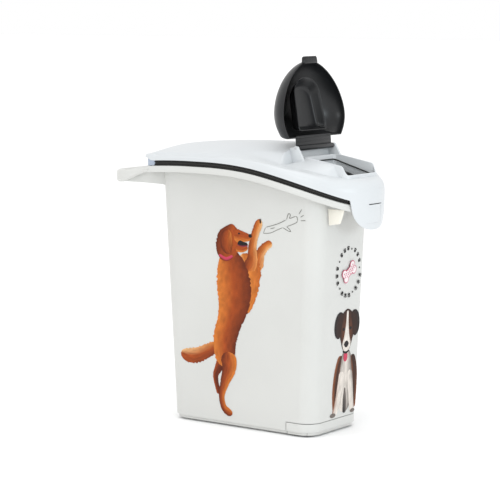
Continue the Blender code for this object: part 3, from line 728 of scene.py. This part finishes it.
def collar(mat):
    """The spout's upright wall with a rounded lip."""
    rear, front, half, r = COLLAR

    def ring(inset, height):
        corner = max(r - inset, 0.002)
        plan = rounded(rear + inset, front - inset, half - inset, 0.006, corner, side=24, corner=6)
        return [(x, y, height(x)) for x, y in plan]

    foot = lambda x: COLLAR_SEAL_HIGH.z - 0.014 - 0.274 * (x - rear)
    lip = lambda rise: lambda x: collar_lip(x) - LIP_SOFT + LIP_SOFT * rise
    rings = [ring(0, foot), ring(0, lip(0))]
    for k in range(1, 6):
        t = k * pi / 6
        rings.append(ring(COLLAR_WALL / 2 * (1 - cos(t)), lip(sin(t))))
    rings += [ring(COLLAR_WALL, lip(0)), ring(COLLAR_WALL, foot)]
    return mesh_object("collar", *loft(rings, loop=True), mat)


def profile_plate(name, outline, y0, y1, mat, soft):
    """A plate with an outline in x and z, standing between two y."""
    rings = [[(x, y, z) for x, z in outline] for y in (y0, y1)]
    return soften(mesh_object(name, *loft(rings), mat), soft)


def flap_ear(side, mat):
    """A low round bracket beside the spout that holds one end of the flap's pin."""
    x, z = FLAP_PIN
    rear, foot = x - 0.0125, lid_top(x + 0.010, 0.057) - 0.004
    outline = [(rear, foot), (x + 0.019, foot), (x + 0.017, foot + 0.003), (x + 0.0095, z - 0.007)]
    outline += [*arc(x, z, 0.0050, 0.0042, 0, 11 * pi / 14, 11), (rear, z + 0.0005)]
    return profile_plate("ear", outline, *span(side, 0.0540, 0.0595), mat, 0.0012)


def make_lid(mat, shade):
    """The lid: its skin with mouth, latch window and hinge notches, collar, ears and hinge knuckles."""
    surface = lid_surface(mat)
    modify(surface, "SOLIDIFY", thickness=LID_SKIN, offset=-1, use_even_offset=False)
    rear, front, half, _ = COLLAR
    inner = COLLAR_WALL / 2
    mouth = rounded(rear + inner, front - inner, half - inner, 0.005, 0.010, side=6, corner=6, end=4)
    cut(surface, prism("mouth", mouth, 0.41, 0.53, mat))
    slack, slot, reach = 0.00005, 0.0013, 0.02
    window_low = (LID_FRONT - reach, LATCH_LOW.y + slack, LATCH_LOW.z + slack)
    window_high = (LID_FRONT + reach, LATCH_HIGH.y - slack, LATCH_HIGH.z + slot)
    cut(surface, block("window", window_low, window_high, mat))
    for side in (-1, 1):
        y0, y1 = span(side, *LUG_SPAN)
        cut(surface, block("notch", (LID_REAR - 0.001, y0, 0.455), (LID_REAR + 0.0035, y1, 0.4735), mat))
    pieces = [surface, collar(mat), flap_ear(1, mat), flap_ear(-1, mat)]
    x, z = LID_PIN
    under = arc(x, z, 0.0032, 0.0032, pi, pi, 8)
    for side in (-1, 1):
        for near in (LUG_SPAN[0] - KNUCKLE, LUG_SPAN[1]):
            top = lid_top(x, near + KNUCKLE) - 0.001
            knuckle = [(x + 0.006, top), (x - 0.003, top)] + under
            pieces.append(profile_plate("knuckle", knuckle, *span(side, near, near + KNUCKLE), mat, 0.0003))
        # Blue-grey walls of painted shade in the hinge recesses.
        pieces.append(corner_skirt(side, shade))
    return place(merge("lid_moulding", pieces), "lid", "lid_plastic", "lid_shell")


def corner_skirt(side, mat):
    """An inner wall in the hinge recess at a rear corner of the lid, in a blue-grey material that paints
    the recess's shade.
    """
    inset, back = 0.0045, 0.0012
    r, start = LID_CORNER - inset, LID_REAR + LID_CORNER
    points = [(x, -LID_HALF + inset) for x in (-0.146, -0.155, start)]
    points += arc(start, -LID_HALF + LID_CORNER, r, r, -pi / 2, -pi / 2, 8)[1:]
    rings = []
    for x, y in points:
        low, high = seam(x) - SEAM_HALF + 0.0008, lid_edge(x, y) + 0.005
        inner = (x + back * (x < -0.17), y + back)
        ring = [(x, y, low), (x, y, high), (*inner, high), (*inner, low)]
        rings.append([(px, -side * py, pz) for px, py, pz in ring])
    return mesh_object("corner_skirt", *loft(rings), mat)


def make_rim_gasket(mat, light):
    """The seal between tub and lid, with a paler groove along its face. It tucks in at the hinge."""
    rear, front, half = -0.1740, RIM_FRONT - 0.001, RIM_HALF - 0.001

    def band(name, rows, colour):
        rings = []
        for inset, offset in rows:
            plan = bowed(rear, front, half, 0.030, inset, side=60, corner=12, nose=40)
            rings.append([(x, y, seam(x) + offset) for x, y in plan])
        return mesh_object(name, *loft(rings, loop=True), colour)

    over = SEAM_HALF - GAP
    lower = [(0.006, -over), (0.0006, -over), (0, -over + 0.0006), (0, -0.0012), (0.0008, -0.0009)]
    upper = [(inset, -offset) for inset, offset in reversed(lower)]
    body = band("gasket", lower + upper, mat)
    line = band("groove", [(0.0007, -0.0007), (0.0007, 0.0007), (0.002, 0)], light)
    return place(merge("lid_seal", [body, line]), "lid", "seal_rubber", "rim_gasket")


def make_spout_seal(mat):
    """A thin round cord of rubber in the spout's collar, sloping down to the pouring lip."""
    low, high = COLLAR_SEAL_LOW, COLLAR_SEAL_HIGH
    r = 0.0011
    plan = rounded(low.x + r, high.x - r, high.y - r, 0.004, 0.007, side=30, corner=8)
    slope = (low.z - high.z + 2 * r) / (high.x - low.x - 2 * r)
    path, normals = evenly(plan + plan[:1], 160)
    rings = []
    for out, up in arc(0, high.z - r, r, r, 0, 2 * pi, 10)[:-1]:
        ring = []
        for (x, y), (nx, ny) in zip(path, normals):
            ring.append((x + nx * out, y + ny * out, up + slope * (x - low.x - r)))
        rings.append(ring)
    seal = mesh_object("spout_seal", *loft(rings, loop=True), mat)
    return place(seal, "lid", "seal_rubber", "spout_gasket")


def make_latch(mat):
    """The latch pad: it follows the apron's face, with a finger rib under its top edge."""
    half, low, high = LATCH_HIGH.y - 0.0001, LATCH_LOW.z, LATCH_HIGH.z - 0.0004
    rows, columns, thick = 16, 24, 0.0024
    rings = []
    for i in range(rows + 1):
        z = low + (high - low) * i / rows
        rib = 0.0006 * exp(-(((z - high + 0.0055) / 0.0022) ** 2))
        across = [half * (2 * k / columns - 1) for k in range(columns + 1)]
        face = [(nose_x(y) - lobe_lean(z) - rib - 0.0001, y, z) for y in across]
        rings.append(face + [(x - thick, y, z) for x, y, z in reversed(face)])
    pad = soften(mesh_object("pad", *loft(rings), mat), 0.0004)
    catch_low = (RIM_FRONT + 0.0009, -half * 0.7, high - 0.006)
    catch = block("catch", catch_low, (LATCH_HIGH.x - 0.003, half * 0.7, high - 0.002), mat, 0.0004)
    return place(merge("latch_pad", [pad, catch]), "latch", "lid_plastic", "front_latch")


# ---- flap and scoop ----


def flap_point(s, y, n):
    """A place in the flap's own directions as a point of the frame."""
    x, z = FLAP_PIN
    up, out = sin(FLAP_LEAN), cos(FLAP_LEAN)
    return (x - s * up + n * out, y, z + s * out + n * up)


def flap_half_width(s):
    """Half the width of the flap's mouth at a distance up from its axis."""
    if s < FLAP_WIDE:
        f = (FLAP_WIDE - s) / (FLAP_WIDE - FLAP_LOW)
        return FLAP_HALF - (FLAP_HALF - FLAP_LOW_HALF) * f * f
    f = min((s - FLAP_WIDE) / (FLAP_TIP - FLAP_WIDE), 1.0)
    return FLAP_HALF * (1 - f**1.75) ** 0.56


def flap_rim(count=44):
    """The outline of the flap's mouth, from the middle of its low edge."""
    half = [(FLAP_LOW, FLAP_LOW_HALF * k / 12) for k in range(12)]
    for k in range(count + 1):
        s = FLAP_LOW + (FLAP_TIP - FLAP_LOW) * sin(k / count * pi / 2)
        half.append((s, flap_half_width(s)))
    return mirrored(half)


def flap_slab(name, s_range, half, n_range, mat, soft=0.0008, narrow=1.0, middle=0.0):
    """A block in the flap's own directions, narrower at its far end where asked."""
    rings = []
    for s, h in zip(s_range, (half, half * narrow)):
        corners = ((-h, n_range[0]), (h, n_range[0]), (h, n_range[1]), (-h, n_range[1]))
        rings.append([flap_point(s, middle + y, n) for y, n in corners])
    return soften(mesh_object(name, *loft(rings), mat), soft, 3)


def rod(name, x, z, r, half, mat, sides=28):
    """A rod along Y, as far on both sides of the middle."""
    section = arc(x, z, r, r, 0, 2 * pi, sides)[:-1]
    rings = [[(px, y, pz) for px, pz in section] for y in (-half, half)]
    return soften(mesh_object(name, *loft(rings), mat), 0.0004)


def make_flap(mat):
    """The black domed flap with its neck, hinge barrel and ribbed finger nub."""
    rings = []
    for k in range(23):
        t = k / 22 * radians(87)
        scale, depth = cos(t), FLAP_DEPTH * sin(t)
        ring = []
        for s, y in flap_rim():
            bow = FLAP_BOW * (y / FLAP_HALF) ** 2 * (1 - depth / FLAP_DEPTH)
            ring.append(flap_point(FLAP_MID + (s - FLAP_MID) * scale, y * scale, bow - depth))
        rings.append(ring)
    verts, faces = loft(rings, cap=False)
    faces.append(tuple(range(len(verts) - len(rings[0]), len(verts))))
    dome = mesh_object("dome", verts, faces, mat, 50)
    out = Vector(flap_point(FLAP_MID, 0, -1)) - Vector(flap_point(FLAP_MID, 0, 0))
    if dome.data.polygons[-1].normal.dot(out) < 0:
        dome.data.flip_normals()
    modify(dome, "SOLIDIFY", thickness=FLAP_SKIN, offset=-1, use_even_offset=False)
    soften(dome, 0.0007, 3, angle_limit=radians(50))
    nub = (FLAP_TIP - 0.006, FLAP_TIP + 0.007)
    pieces = [
        dome,
        flap_slab("neck", (0.002, FLAP_LOW + 0.004), NECK_HALF, (-0.0045, -0.0015), mat),
        rod("barrel", *FLAP_PIN, 0.0045, NECK_HALF, mat),
        flap_slab("hem", (0.010, 0.0118), NECK_HALF - 0.003, (-0.0018, -0.0006), mat, 0.0004),
        flap_slab("nub", nub, 0.0213, (-0.0038, 0.0038), mat, 0.0034, 0.9),
    ]
    for k in range(-3, 4):
        rib = (nub[0] + 0.003, nub[1])
        pieces.append(flap_slab("rib", rib, 0.0007, (0.0028, 0.0040), mat, 0.0003, middle=k * 0.0046))
    return place(merge("spout_flap_moulding", pieces), "flap", "flap_plastic", "spout_flap")


def scoop_ring(inset, depth):
    """The scoop's outline at a depth below its open face, drawn in by an inset."""
    low, high = SCOOP_S[0] + inset, SCOOP_S[1] - inset - 0.6 * depth
    wide, narrow = SCOOP_HALF[0] - inset, SCOOP_HALF[1] - inset
    nose, corner = narrow * 0.75, 0.004
    start, straight = low + corner, high - nose
    points = [(low, wide * f) for f in (0.0, 0.3, 0.6, 0.8)]
    points += arc(start, wide - corner, -corner, corner, 0, pi / 2, 4)
    points += between((start, wide), (straight, narrow), 12)
    points += arc(straight, 0, nose, narrow, pi / 2, -pi / 2, 16)
    slant = lambda s: SCOOP_BACK + SCOOP_TILT * (s - SCOOP_S[0])
    return [flap_point(s, y, -slant(s) - depth) for s, y in mirrored(points)]


def make_scoop(mat):
    """The measuring scoop, nested in the flap with its open side forward."""
    deep, floor = SCOOP_DEPTH, SCOOP_DEPTH - SCOOP_SKIN
    outer = [(0.0, 0.0011), (0.001, 0.004), (0.003, 0.012), (0.0045, deep - 0.004)]
    base = [(0.006, deep - 0.0016), (0.008, deep - 0.0004), (0.011, deep)]
    rows = [*reversed(outer + base), (0.0004, 0.0003), (0.0010, 0.0), (0.0016, 0.0003)]
    rows += [(inset + SCOOP_SKIN, min(depth, floor)) for inset, depth in outer]
    rows += [(0.008, floor - 0.0006), (0.0105, floor)]
    bowl = mesh_object("scoop_moulding", *loft([scoop_ring(*row) for row in rows]), mat, 45)
    return place(bowl, "scoop", "flap_plastic", "measuring_scoop")


# ---- decoration ----


def smooth_knots(knots, steps):
    """Catmull-Rom points through the knots."""
    before = [2 * a - b for a, b in zip(knots[0], knots[1])]
    after = [2 * a - b for a, b in zip(knots[-1], knots[-2])]
    full, points = [before, *knots, after], []
    for i in range(1, len(full) - 2):
        for t in (k / steps for k in range(steps)):
            point = []
            for p0, p1, p2, p3 in zip(*full[i - 1 : i + 3]):
                bend, twist = 2 * p0 - 5 * p1 + 4 * p2 - p3, 3 * p1 - p0 - 3 * p2 + p3
                point.append(0.5 * (2 * p1 + (p2 - p0) * t + bend * t * t + twist * t**3))
            points.append(point)
    return points + [list(knots[-1])]


def stroke(knots, tones, fur=0.0, seed=0.0, ends=None, across=14, steps=12):
    """A tapering brush stroke in centimetres through (u, v, half width) knots, with round ends.

    tones are its colours on the left side, in the middle and on the right side, seen along it;
    ends are those at its far end. Returns points and colours in rows. Fur roughens its edges.
    """
    line = smooth_knots(knots, steps)
    lengths = running_lengths(line)
    total, rows = lengths[-1], []
    for i, (u, v, half) in enumerate(line):
        a, b = line[max(i - 1, 0)], line[min(i + 1, len(line) - 1)]
        size = hypot(b[0] - a[0], b[1] - a[1]) or 1.0
        nu, nv = -(b[1] - a[1]) / size, (b[0] - a[0]) / size
        near = min(lengths[i], total - lengths[i], max(half, 1e-4))
        half *= sqrt(max(1 - (1 - near / max(half, 1e-4)) ** 2, 0.0004))
        left, middle, right = (mixed(p, q, lengths[i] / total) for p, q in zip(tones, ends or tones))
        row = []
        for c in (1 - 2 * k / across for k in range(across + 1)):
            ragged = fur * noise.noise(Vector((lengths[i] * 3.1, seed, 5 if c > 0 else 9)))
            reach = half * c * (1 + ragged * abs(c) ** 3)
            colour = mixed(middle, left if c > 0 else right, abs(c))
            if fur:
                streak = 1 + 0.36 * noise.noise(Vector((lengths[i] * 0.7, c * half * 6, seed + 3)))
                colour = tuple(min(channel * streak, 1.0) for channel in colour)
            row.append(((u + nu * reach, v + nv * reach), colour))
        rows.append(row)
    return rows


def turned(u, v, a, b, turn):
    """The point that is (a, b) away from (u, v) when the offset is turned."""
    return u + a * cos(turn) - b * sin(turn), v + a * sin(turn) + b * cos(turn)


def disc(u, v, ru, rv, colour=INK, turn=0.0):
    """A small turned ellipse in the same form as a stroke."""
    rows = []
    for f in (0.02, 0.25, 0.5, 0.75, 1.0):
        ring = arc(0, 0, ru * f, rv * f, 0, 2 * pi, 24)
        rows.append([(turned(u, v, a, b, turn), colour) for a, b in ring])
    return rows


def print_object(name, patches, onto, mat, step=0.00005):
    """Painted patches as thin layers just off a wall. onto(u, v, off) gives the wall's point."""
    verts, faces, colours = [], [], []
    for layer, rows in enumerate(patches):
        start, width, off = len(verts), len(rows[0]), 0.0002 + step * layer
        for (u, v), colour in (item for row in rows for item in row):
            verts.append(onto(u * CENTIMETRE, v * CENTIMETRE, off))
            colours.append(colour)
        for i in range(len(rows) - 1):
            for a in range(start + i * width, start + (i + 1) * width - 1):
                faces.append((a, a + 1, a + width + 1, a + width))
    mesh = bpy.data.meshes.new(name)
    mesh.from_pydata(verts, [], faces)
    paint = mesh.color_attributes.new("ink", "FLOAT_COLOR", "POINT")
    for item, colour in zip(paint.data, colours):
        item.color = (*colour, 1)
    mesh.materials.append(mat)
    return place(linked(name, mesh), "bin", "tub_plastic")


def on_near_wall(u, v, off):
    return (u, -wall_side(v) - off, v)


def on_front_wall(u, v, off):
    return (wall_side(v, 0) + off, u, v)


def leaping_dog():
    """A long-haired dog on its hind legs, reaching up for a stick."""
    tail = [(-4.6, 14.3, 1.0), (-6.6, 13.2, 1.2), (-8.8, 12.2, 1.35), (-10.8, 11.9, 1.3),
            (-12.7, 12.2, 0.8)]
    far_leg = [(-3.0, 12.4, 1.3), (-4.4, 10.2, 0.8), (-5.0, 8.6, 0.55), (-4.3, 5.6, 0.42)]
    far_arm = [(2.2, 30.0, 1.5), (4.2, 29.2, 1.3), (5.0, 31.2, 0.95), (6.2, 32.6, 0.75), (7.5, 33.3, 0.6)]
    chest = [(1.2, 31.0, 1.6), (2.4, 28.2, 2.7), (3.0, 25.6, 1.7), (2.4, 23.0, 1.3), (1.6, 20.6, 0.8)]
    body = [(-2.4, 31.6, 1.7), (-1.3, 28.6, 3.1), (-0.7, 25.0, 3.7), (-0.9, 21.9, 3.3), (-1.8, 18.8, 2.6),
            (-2.8, 15.8, 2.5), (-2.9, 12.8, 2.2), (-2.5, 10.6, 1.5)]
    near_leg = [(-2.2, 13.4, 1.9), (-2.0, 10.6, 1.5), (-3.0, 7.9, 0.95), (-3.7, 5.4, 0.62),
                (-3.3, 3.5, 0.62), (-2.4, 2.7, 0.70), (-1.4, 2.4, 0.5)]
    near_arm = [(2.3, 28.2, 1.5), (3.3, 30.0, 1.15), (3.4, 32.4, 0.85), (4.0, 34.6, 0.78), (4.7, 36.2, 0.8),
                (5.1, 37.2, 0.5)]
    head = [(-2.9, 29.4, 1.6), (-2.3, 31.4, 2.3), (-1.6, 33.4, 2.5), (-1.1, 35.0, 1.7), (-0.9, 36.0, 0.8)]
    muzzle = [(-0.6, 34.1, 1.45), (0.9, 34.0, 1.0), (2.2, 33.9, 0.75), (3.1, 34.0, 0.45)]
    mouth = [(0.2, 32.6, 0.9), (1.4, 32.5, 0.6), (2.4, 32.6, 0.34)]
    jaw = [(-0.2, 31.9, 0.6), (1.2, 31.7, 0.48), (2.4, 32.1, 0.28)]
    neckband = [(-3.9, 30.4, 0.30), (-2.3, 29.8, 0.34), (-0.8, 30.4, 0.30)]
    ear = [(-1.7, 35.0, 0.8), (-2.2, 33.4, 1.3), (-2.0, 31.8, 1.15), (-1.4, 30.8, 0.5)]
    coat, face, pale = (UMBER, RUST, AMBER), (RUST, RUST, AMBER), (RUST, AMBER, CREAM)
    return [
        stroke(tail, coat, 0.2, 1.0, (RUST, RUST, CREAM)),
        stroke(far_leg, (UMBER, UMBER, RUST), 0.1, 2.0),
        stroke(far_arm, coat, 0.2, 3.0, pale),
        stroke(chest, pale, 0.24, 4.0, (AMBER, AMBER, CREAM)),
        stroke(body, coat, 0.12, 5.0),
        stroke(near_leg, (AMBER, RUST, UMBER), 0.08, 6.0),
        stroke(near_arm, coat, 0.12, 7.0, pale),
        stroke(head, (UMBER, RUST, RUST), 0.10, 8.0),
        stroke(muzzle, face, 0.05, 9.0),
        stroke(mouth, (INK, INK, ROSE)),
        stroke(jaw, face, 0.06, 10.0),
        stroke(neckband, (ROSE, ROSE, UMBER)),
        stroke(ear, (AMBER, RUST, UMBER), 0.14, 11.0, (UMBER, RUST, UMBER)),
        disc(2.95, 34.2, 0.36, 0.32),
        disc(0.55, 34.45, 0.2, 0.16),
        disc(5.15, 36.9, 0.16, 0.42, COCOA, 0.1),
    ]


def pencil(points, half=0.055):
    return stroke([(u, v, half) for u, v in points], (BARK,) * 3, across=2, steps=6)


def thrown_stick():
    """A line-drawn stick with a fork, a stub and three flight marks."""
    lines = (
        [(5.7, 34.8), (6.2, 35.9)], [(5.7, 34.8), (7.2, 35.0), (8.6, 35.6), (9.8, 36.1)],
        [(9.8, 36.1), (10.9, 35.6), (11.5, 35.5)], [(11.5, 35.5), (11.2, 35.9), (10.6, 36.3)],
        [(10.6, 36.3), (12.4, 37.0), (12.9, 37.4)], [(12.9, 37.4), (12.8, 38.0), (12.5, 38.2)],
        [(12.5, 38.2), (11.2, 37.7)], [(11.2, 37.7), (11.4, 38.4), (11.0, 38.5), (10.6, 37.5)],
        [(10.6, 37.5), (8.6, 36.6), (6.2, 35.9)], [(7.2, 35.7), (8.2, 36.0)],
        [(13.2, 38.6), (13.8, 39.5)], [(13.5, 38.1), (14.2, 38.5)], [(13.5, 37.5), (14.6, 37.6)],
    )
    return [pencil(line) for line in lines]


def sitting_puppy():
    """A sitting puppy seen from the front, with a white blaze, chest and legs."""
    white, grey_side, dark = (WHITE_FUR,) * 3, (WHITE_FUR, WHITE_FUR, GREY_FUR), (COCOA,) * 3
    flanks = (
        [(-0.4, 3.4, 0.9), (-0.7, 7.0, 1.0), (-0.3, 10.5, 1.0), (0.7, 13.4, 0.9)],
        [(4.9, 3.4, 0.8), (5.0, 7.4, 0.9), (4.8, 10.6, 0.9), (3.9, 13.2, 0.8)],
    )
    belly = [(2.1, 3.2, 1.7), (2.1, 6.0, 1.9), (2.2, 9.4, 2.0), (2.2, 12.4, 1.5), (2.2, 14.4, 1.2)]
    gap = [(2.3, 3.0, 0.6), (2.2, 5.2, 0.55), (2.1, 7.6, 0.2)]
    legs = (
        [(-1.0, 3.0, 0.75), (-0.2, 4.8, 0.75), (0.6, 8.0, 0.85), (1.0, 10.6, 0.8)],
        [(4.6, 3.0, 0.7), (4.3, 4.8, 0.7), (3.8, 8.0, 0.8), (3.4, 10.6, 0.8)],
    )
    head = [(2.0, 13.7, 0.8), (2.0, 15.8, 1.7), (2.0, 18.0, 2.5), (2.0, 20.2, 2.2), (2.0, 21.5, 1.1)]
    ear = ((1.5, 20.9, 0.8), (2.5, 19.7, 1.15), (2.8, 17.9, 1.05), (2.4, 16.5, 0.5))
    left_ear, right_ear = ([(2.0 + side * u, v, w) for u, v, w in ear] for side in (-1, 1))
    blaze = [(2.0, 13.9, 0.9), (2.0, 15.4, 1.25), (2.0, 16.8, 0.75), (2.0, 19.2, 0.34), (2.0, 21.2, 0.26)]
    tongue = [(1.8, 12.2, 0.45), (1.85, 13.0, 0.6), (1.9, 13.9, 0.55)]
    lip = [(1.0, 14.1, 0.14), (1.95, 13.8, 0.2), (2.9, 14.1, 0.14)]
    snout = [(1.95, 14.7, 0.5), (1.95, 15.3, 0.75), (1.95, 15.9, 0.6)]
    return [
        stroke(flanks[0], (TAN, COCOA, COCOA), 0.06, 21.0, (TAN, COCOA, TAN)),
        stroke(flanks[1], (COCOA, COCOA, TAN), 0.06, 22.0, (TAN, COCOA, COCOA)),
        stroke(belly, grey_side, 0.04, 23.0, (GREY_FUR, WHITE_FUR, GREY_FUR)),
        stroke(gap, (INK, INK, GREY_FUR), 0.1, 23.5, (GREY_FUR,) * 3),
        stroke(legs[0], (TAN, WHITE_FUR, WHITE_FUR), 0.04, 24.0, white),
        stroke(legs[1], white, 0.04, 25.0, grey_side),
        disc(-1.3, 3.1, 0.85, 0.40, GREY_FUR), disc(4.8, 3.1, 0.7, 0.36, GREY_FUR),
        stroke(head, (COCOA, TAN, COCOA), 0.04, 26.0, dark),
        stroke(left_ear, (COCOA, COCOA, INK), 0.05, 27.0),
        stroke(right_ear, (INK, COCOA, COCOA), 0.05, 28.0),
        stroke(blaze, white, 0.03, 29.0),
        stroke(tongue, (ROSE,) * 3),
        stroke(lip, (INK,) * 3),
        stroke(snout, (INK,) * 3),
        disc(0.95, 18.0, 0.34, 0.28), disc(3.05, 18.0, 0.34, 0.28),
    ]


def paw(u, v, turn):
    """A small paw mark: a pad and three toes, turned outwards."""
    marks = [disc(u, v, 0.30, 0.24, turn=turn)]
    for k in (-1, 0, 1):
        t = turn + pi / 2 + k * 0.62
        marks.append(disc(u + 0.42 * cos(t), v + 0.42 * sin(t), 0.11, 0.14, turn=turn))
    return marks


def play_badge():
    """A ring of paw marks and dots round a spotted bone."""
    u, v, radius, turn = 1.7, 28.0, 4.0, radians(32)
    pink, pale = (0.62, 0.06, 0.15), (0.86, 0.80, 0.80)
    marks = []
    for k in range(20):
        t = 2 * pi * k / 20 + 0.1
        at = (u + radius * 0.86 * cos(t), v + radius * sin(t))
        marks += paw(*at, t - pi / 2) if k % 4 else [disc(*at, 0.17, 0.17)]
    for grow, colour in ((0.14, pink), (0.0, pale)):
        knob = 0.62 + grow
        for a, b in ((-1.35, 0.52), (-1.35, -0.52), (1.35, 0.52), (1.35, -0.52)):
            marks.append(disc(*turned(u, v, a, b, turn), knob, knob, colour))
        ends = [(*turned(u, v, a, 0, turn), knob) for a in (-1.5, 1.5)]
        marks.append(stroke([ends[0], (u, v, 0.58 + grow), ends[1]], (colour,) * 3, across=4))
    for i in range(-3, 4):
        for j in (-1, 0, 1):
            b = j * 0.36 + (0.18 if i % 2 else 0)
            if abs(i) == 3 or abs(b) < 0.37:
                marks.append(disc(*turned(u, v, i * 0.47, b, turn), 0.12, 0.12, pink))
    return marks


# ---- stage ----


def area_light(name, location, aim, size, power, color):
    """A square light that faces a point."""
    data = bpy.data.lights.new(name, "AREA")
    data.size, data.energy, data.color = size, power, color
    lamp = linked(name, data)
    lamp.location = location
    lamp.rotation_mode = "QUATERNION"
    lamp.rotation_quaternion = (Vector(aim) - Vector(location)).to_track_quat("-Z", "Y")


def make_stage():
    """A pale floor, a white surround and soft lights, with the camera at the bin's right front."""
    made, tree, shader = new_material("studio_floor", (0.96, 0.96, 0.96), 0.9, sheen=0.1)
    tones = ramp(tree, noise_node(tree, 3.0), [(0.3, (0.95,) * 3), (0.7, (0.97,) * 3)])
    tree.links.new(tones, shader.inputs["Base Color"])
    reach = 30.0
    corners = [(x * reach, y * reach, CAD_BOX[0].z) for x, y in ((-1, -1), (1, -1), (1, 1), (-1, 1))]
    mesh_object("studio_floor", corners, [(0, 1, 2, 3)], made)
    world = bpy.data.worlds.new("surround")
    bpy.context.scene.world = world
    world.use_nodes = True
    background = world.node_tree.nodes["Background"]
    background.inputs["Color"].default_value = (1.0, 1.0, 1.0, 1)
    background.inputs["Strength"].default_value = 1.0
    sun = bpy.data.lights.new("sun", "SUN")
    sun.energy, sun.angle = 0.72, radians(50)
    linked("sun", sun).rotation_euler = (radians(12), 0, 0)
    area_light("softbox", (2.6, -0.65, 0.85), (0.08, 0, 0.45), 0.6, 11, (0.82, 0.93, 1.0))
    area_light("side", (0.62, -2.6, 0.95), (0.08, 0, 0.57), 0.5, 7, (0.93, 0.98, 1.0))
    camera = linked("camera", bpy.data.cameras.new("camera"))
    camera.location = (2.041, -2.823, 0.741)
    camera.rotation_euler = (radians(82.90), 0, radians(36.29))
    camera.data.lens, camera.data.sensor_width = 143.4, 36.0
    camera.data.clip_end = 200
    bpy.context.scene.camera = camera
    bpy.context.scene.view_settings.view_transform = "Standard"


TUB_WHITE = moulded_plastic("warm_white_plastic", (0.590, 0.592, 0.570), (0.612, 0.614, 0.592), 0.40)
LID_WHITE = moulded_plastic("cool_white_plastic", (0.600, 0.622, 0.636), (0.624, 0.646, 0.66), 0.36)
# Blue-grey painted shade for the walls in the lid's hinge recesses.
SHADE = moulded_plastic("painted_recess_shade", (0.36, 0.42, 0.52), (0.42, 0.48, 0.58), 0.5)
# A brighter, warmer copy of the tub plastic for the ribs under the rim: painted light.
LIT_RIB_PLASTIC = moulded_plastic("painted_lit_rib_plastic", (0.80, 0.77, 0.68), (0.83, 0.80, 0.72), 0.4)
# Near-black painted shade for the hidden faces inside the parting gap.
PAINTED_GAP_SHADE = moulded_plastic("painted_gap_shade", (0.008,) * 3, (0.015,) * 3, 0.8, sheen=0.1)
BLACK_TONES = (0.008, 0.0085, 0.0095), (0.012, 0.0128, 0.014)
BLACK = moulded_plastic("black_plastic", *BLACK_TONES, 0.33, 700.0, 0.00005, sheen=0.40)
ROLLER = moulded_plastic("roller_plastic", (0.018,) * 3, (0.035,) * 3, 0.5, 500.0, 0.0001)
RUBBER = rubber("seal_rubber", (0.007, 0.0068, 0.0062), (0.013, 0.0125, 0.0115))
GROOVE = rubber("seal_groove", (0.030, 0.029, 0.026), (0.045, 0.043, 0.039))
STEEL = drawn_steel("drawn_steel")
PRINT = printed_ink("printed_ink")

make_stage()
make_tub(TUB_WHITE, LIT_RIB_PLASTIC, PAINTED_GAP_SHADE)
make_carrier(TUB_WHITE)
make_lid(LID_WHITE, SHADE)
make_rim_gasket(RUBBER, GROOVE)
make_spout_seal(RUBBER)
make_latch(LID_WHITE)
make_flap(BLACK)
make_scoop(BLACK)
print_object("printed_dog", leaping_dog(), on_near_wall, PRINT)
print_object("printed_stick", thrown_stick(), on_near_wall, PRINT)
print_object("printed_puppy", sitting_puppy(), on_front_wall, PRINT)
print_object("printed_badge", play_badge(), on_front_wall, PRINT, 0.00003)
rods = ("roller_axle", "lid_hinge_pin_left", "lid_hinge_pin_right", "flap_hinge_pin")
for mat, nodes in ((ROLLER, ("roller_left", "roller_right")), (STEEL, rods)):
    for node in nodes:
        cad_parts[node].data.materials.clear()
        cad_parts[node].data.materials.append(mat)
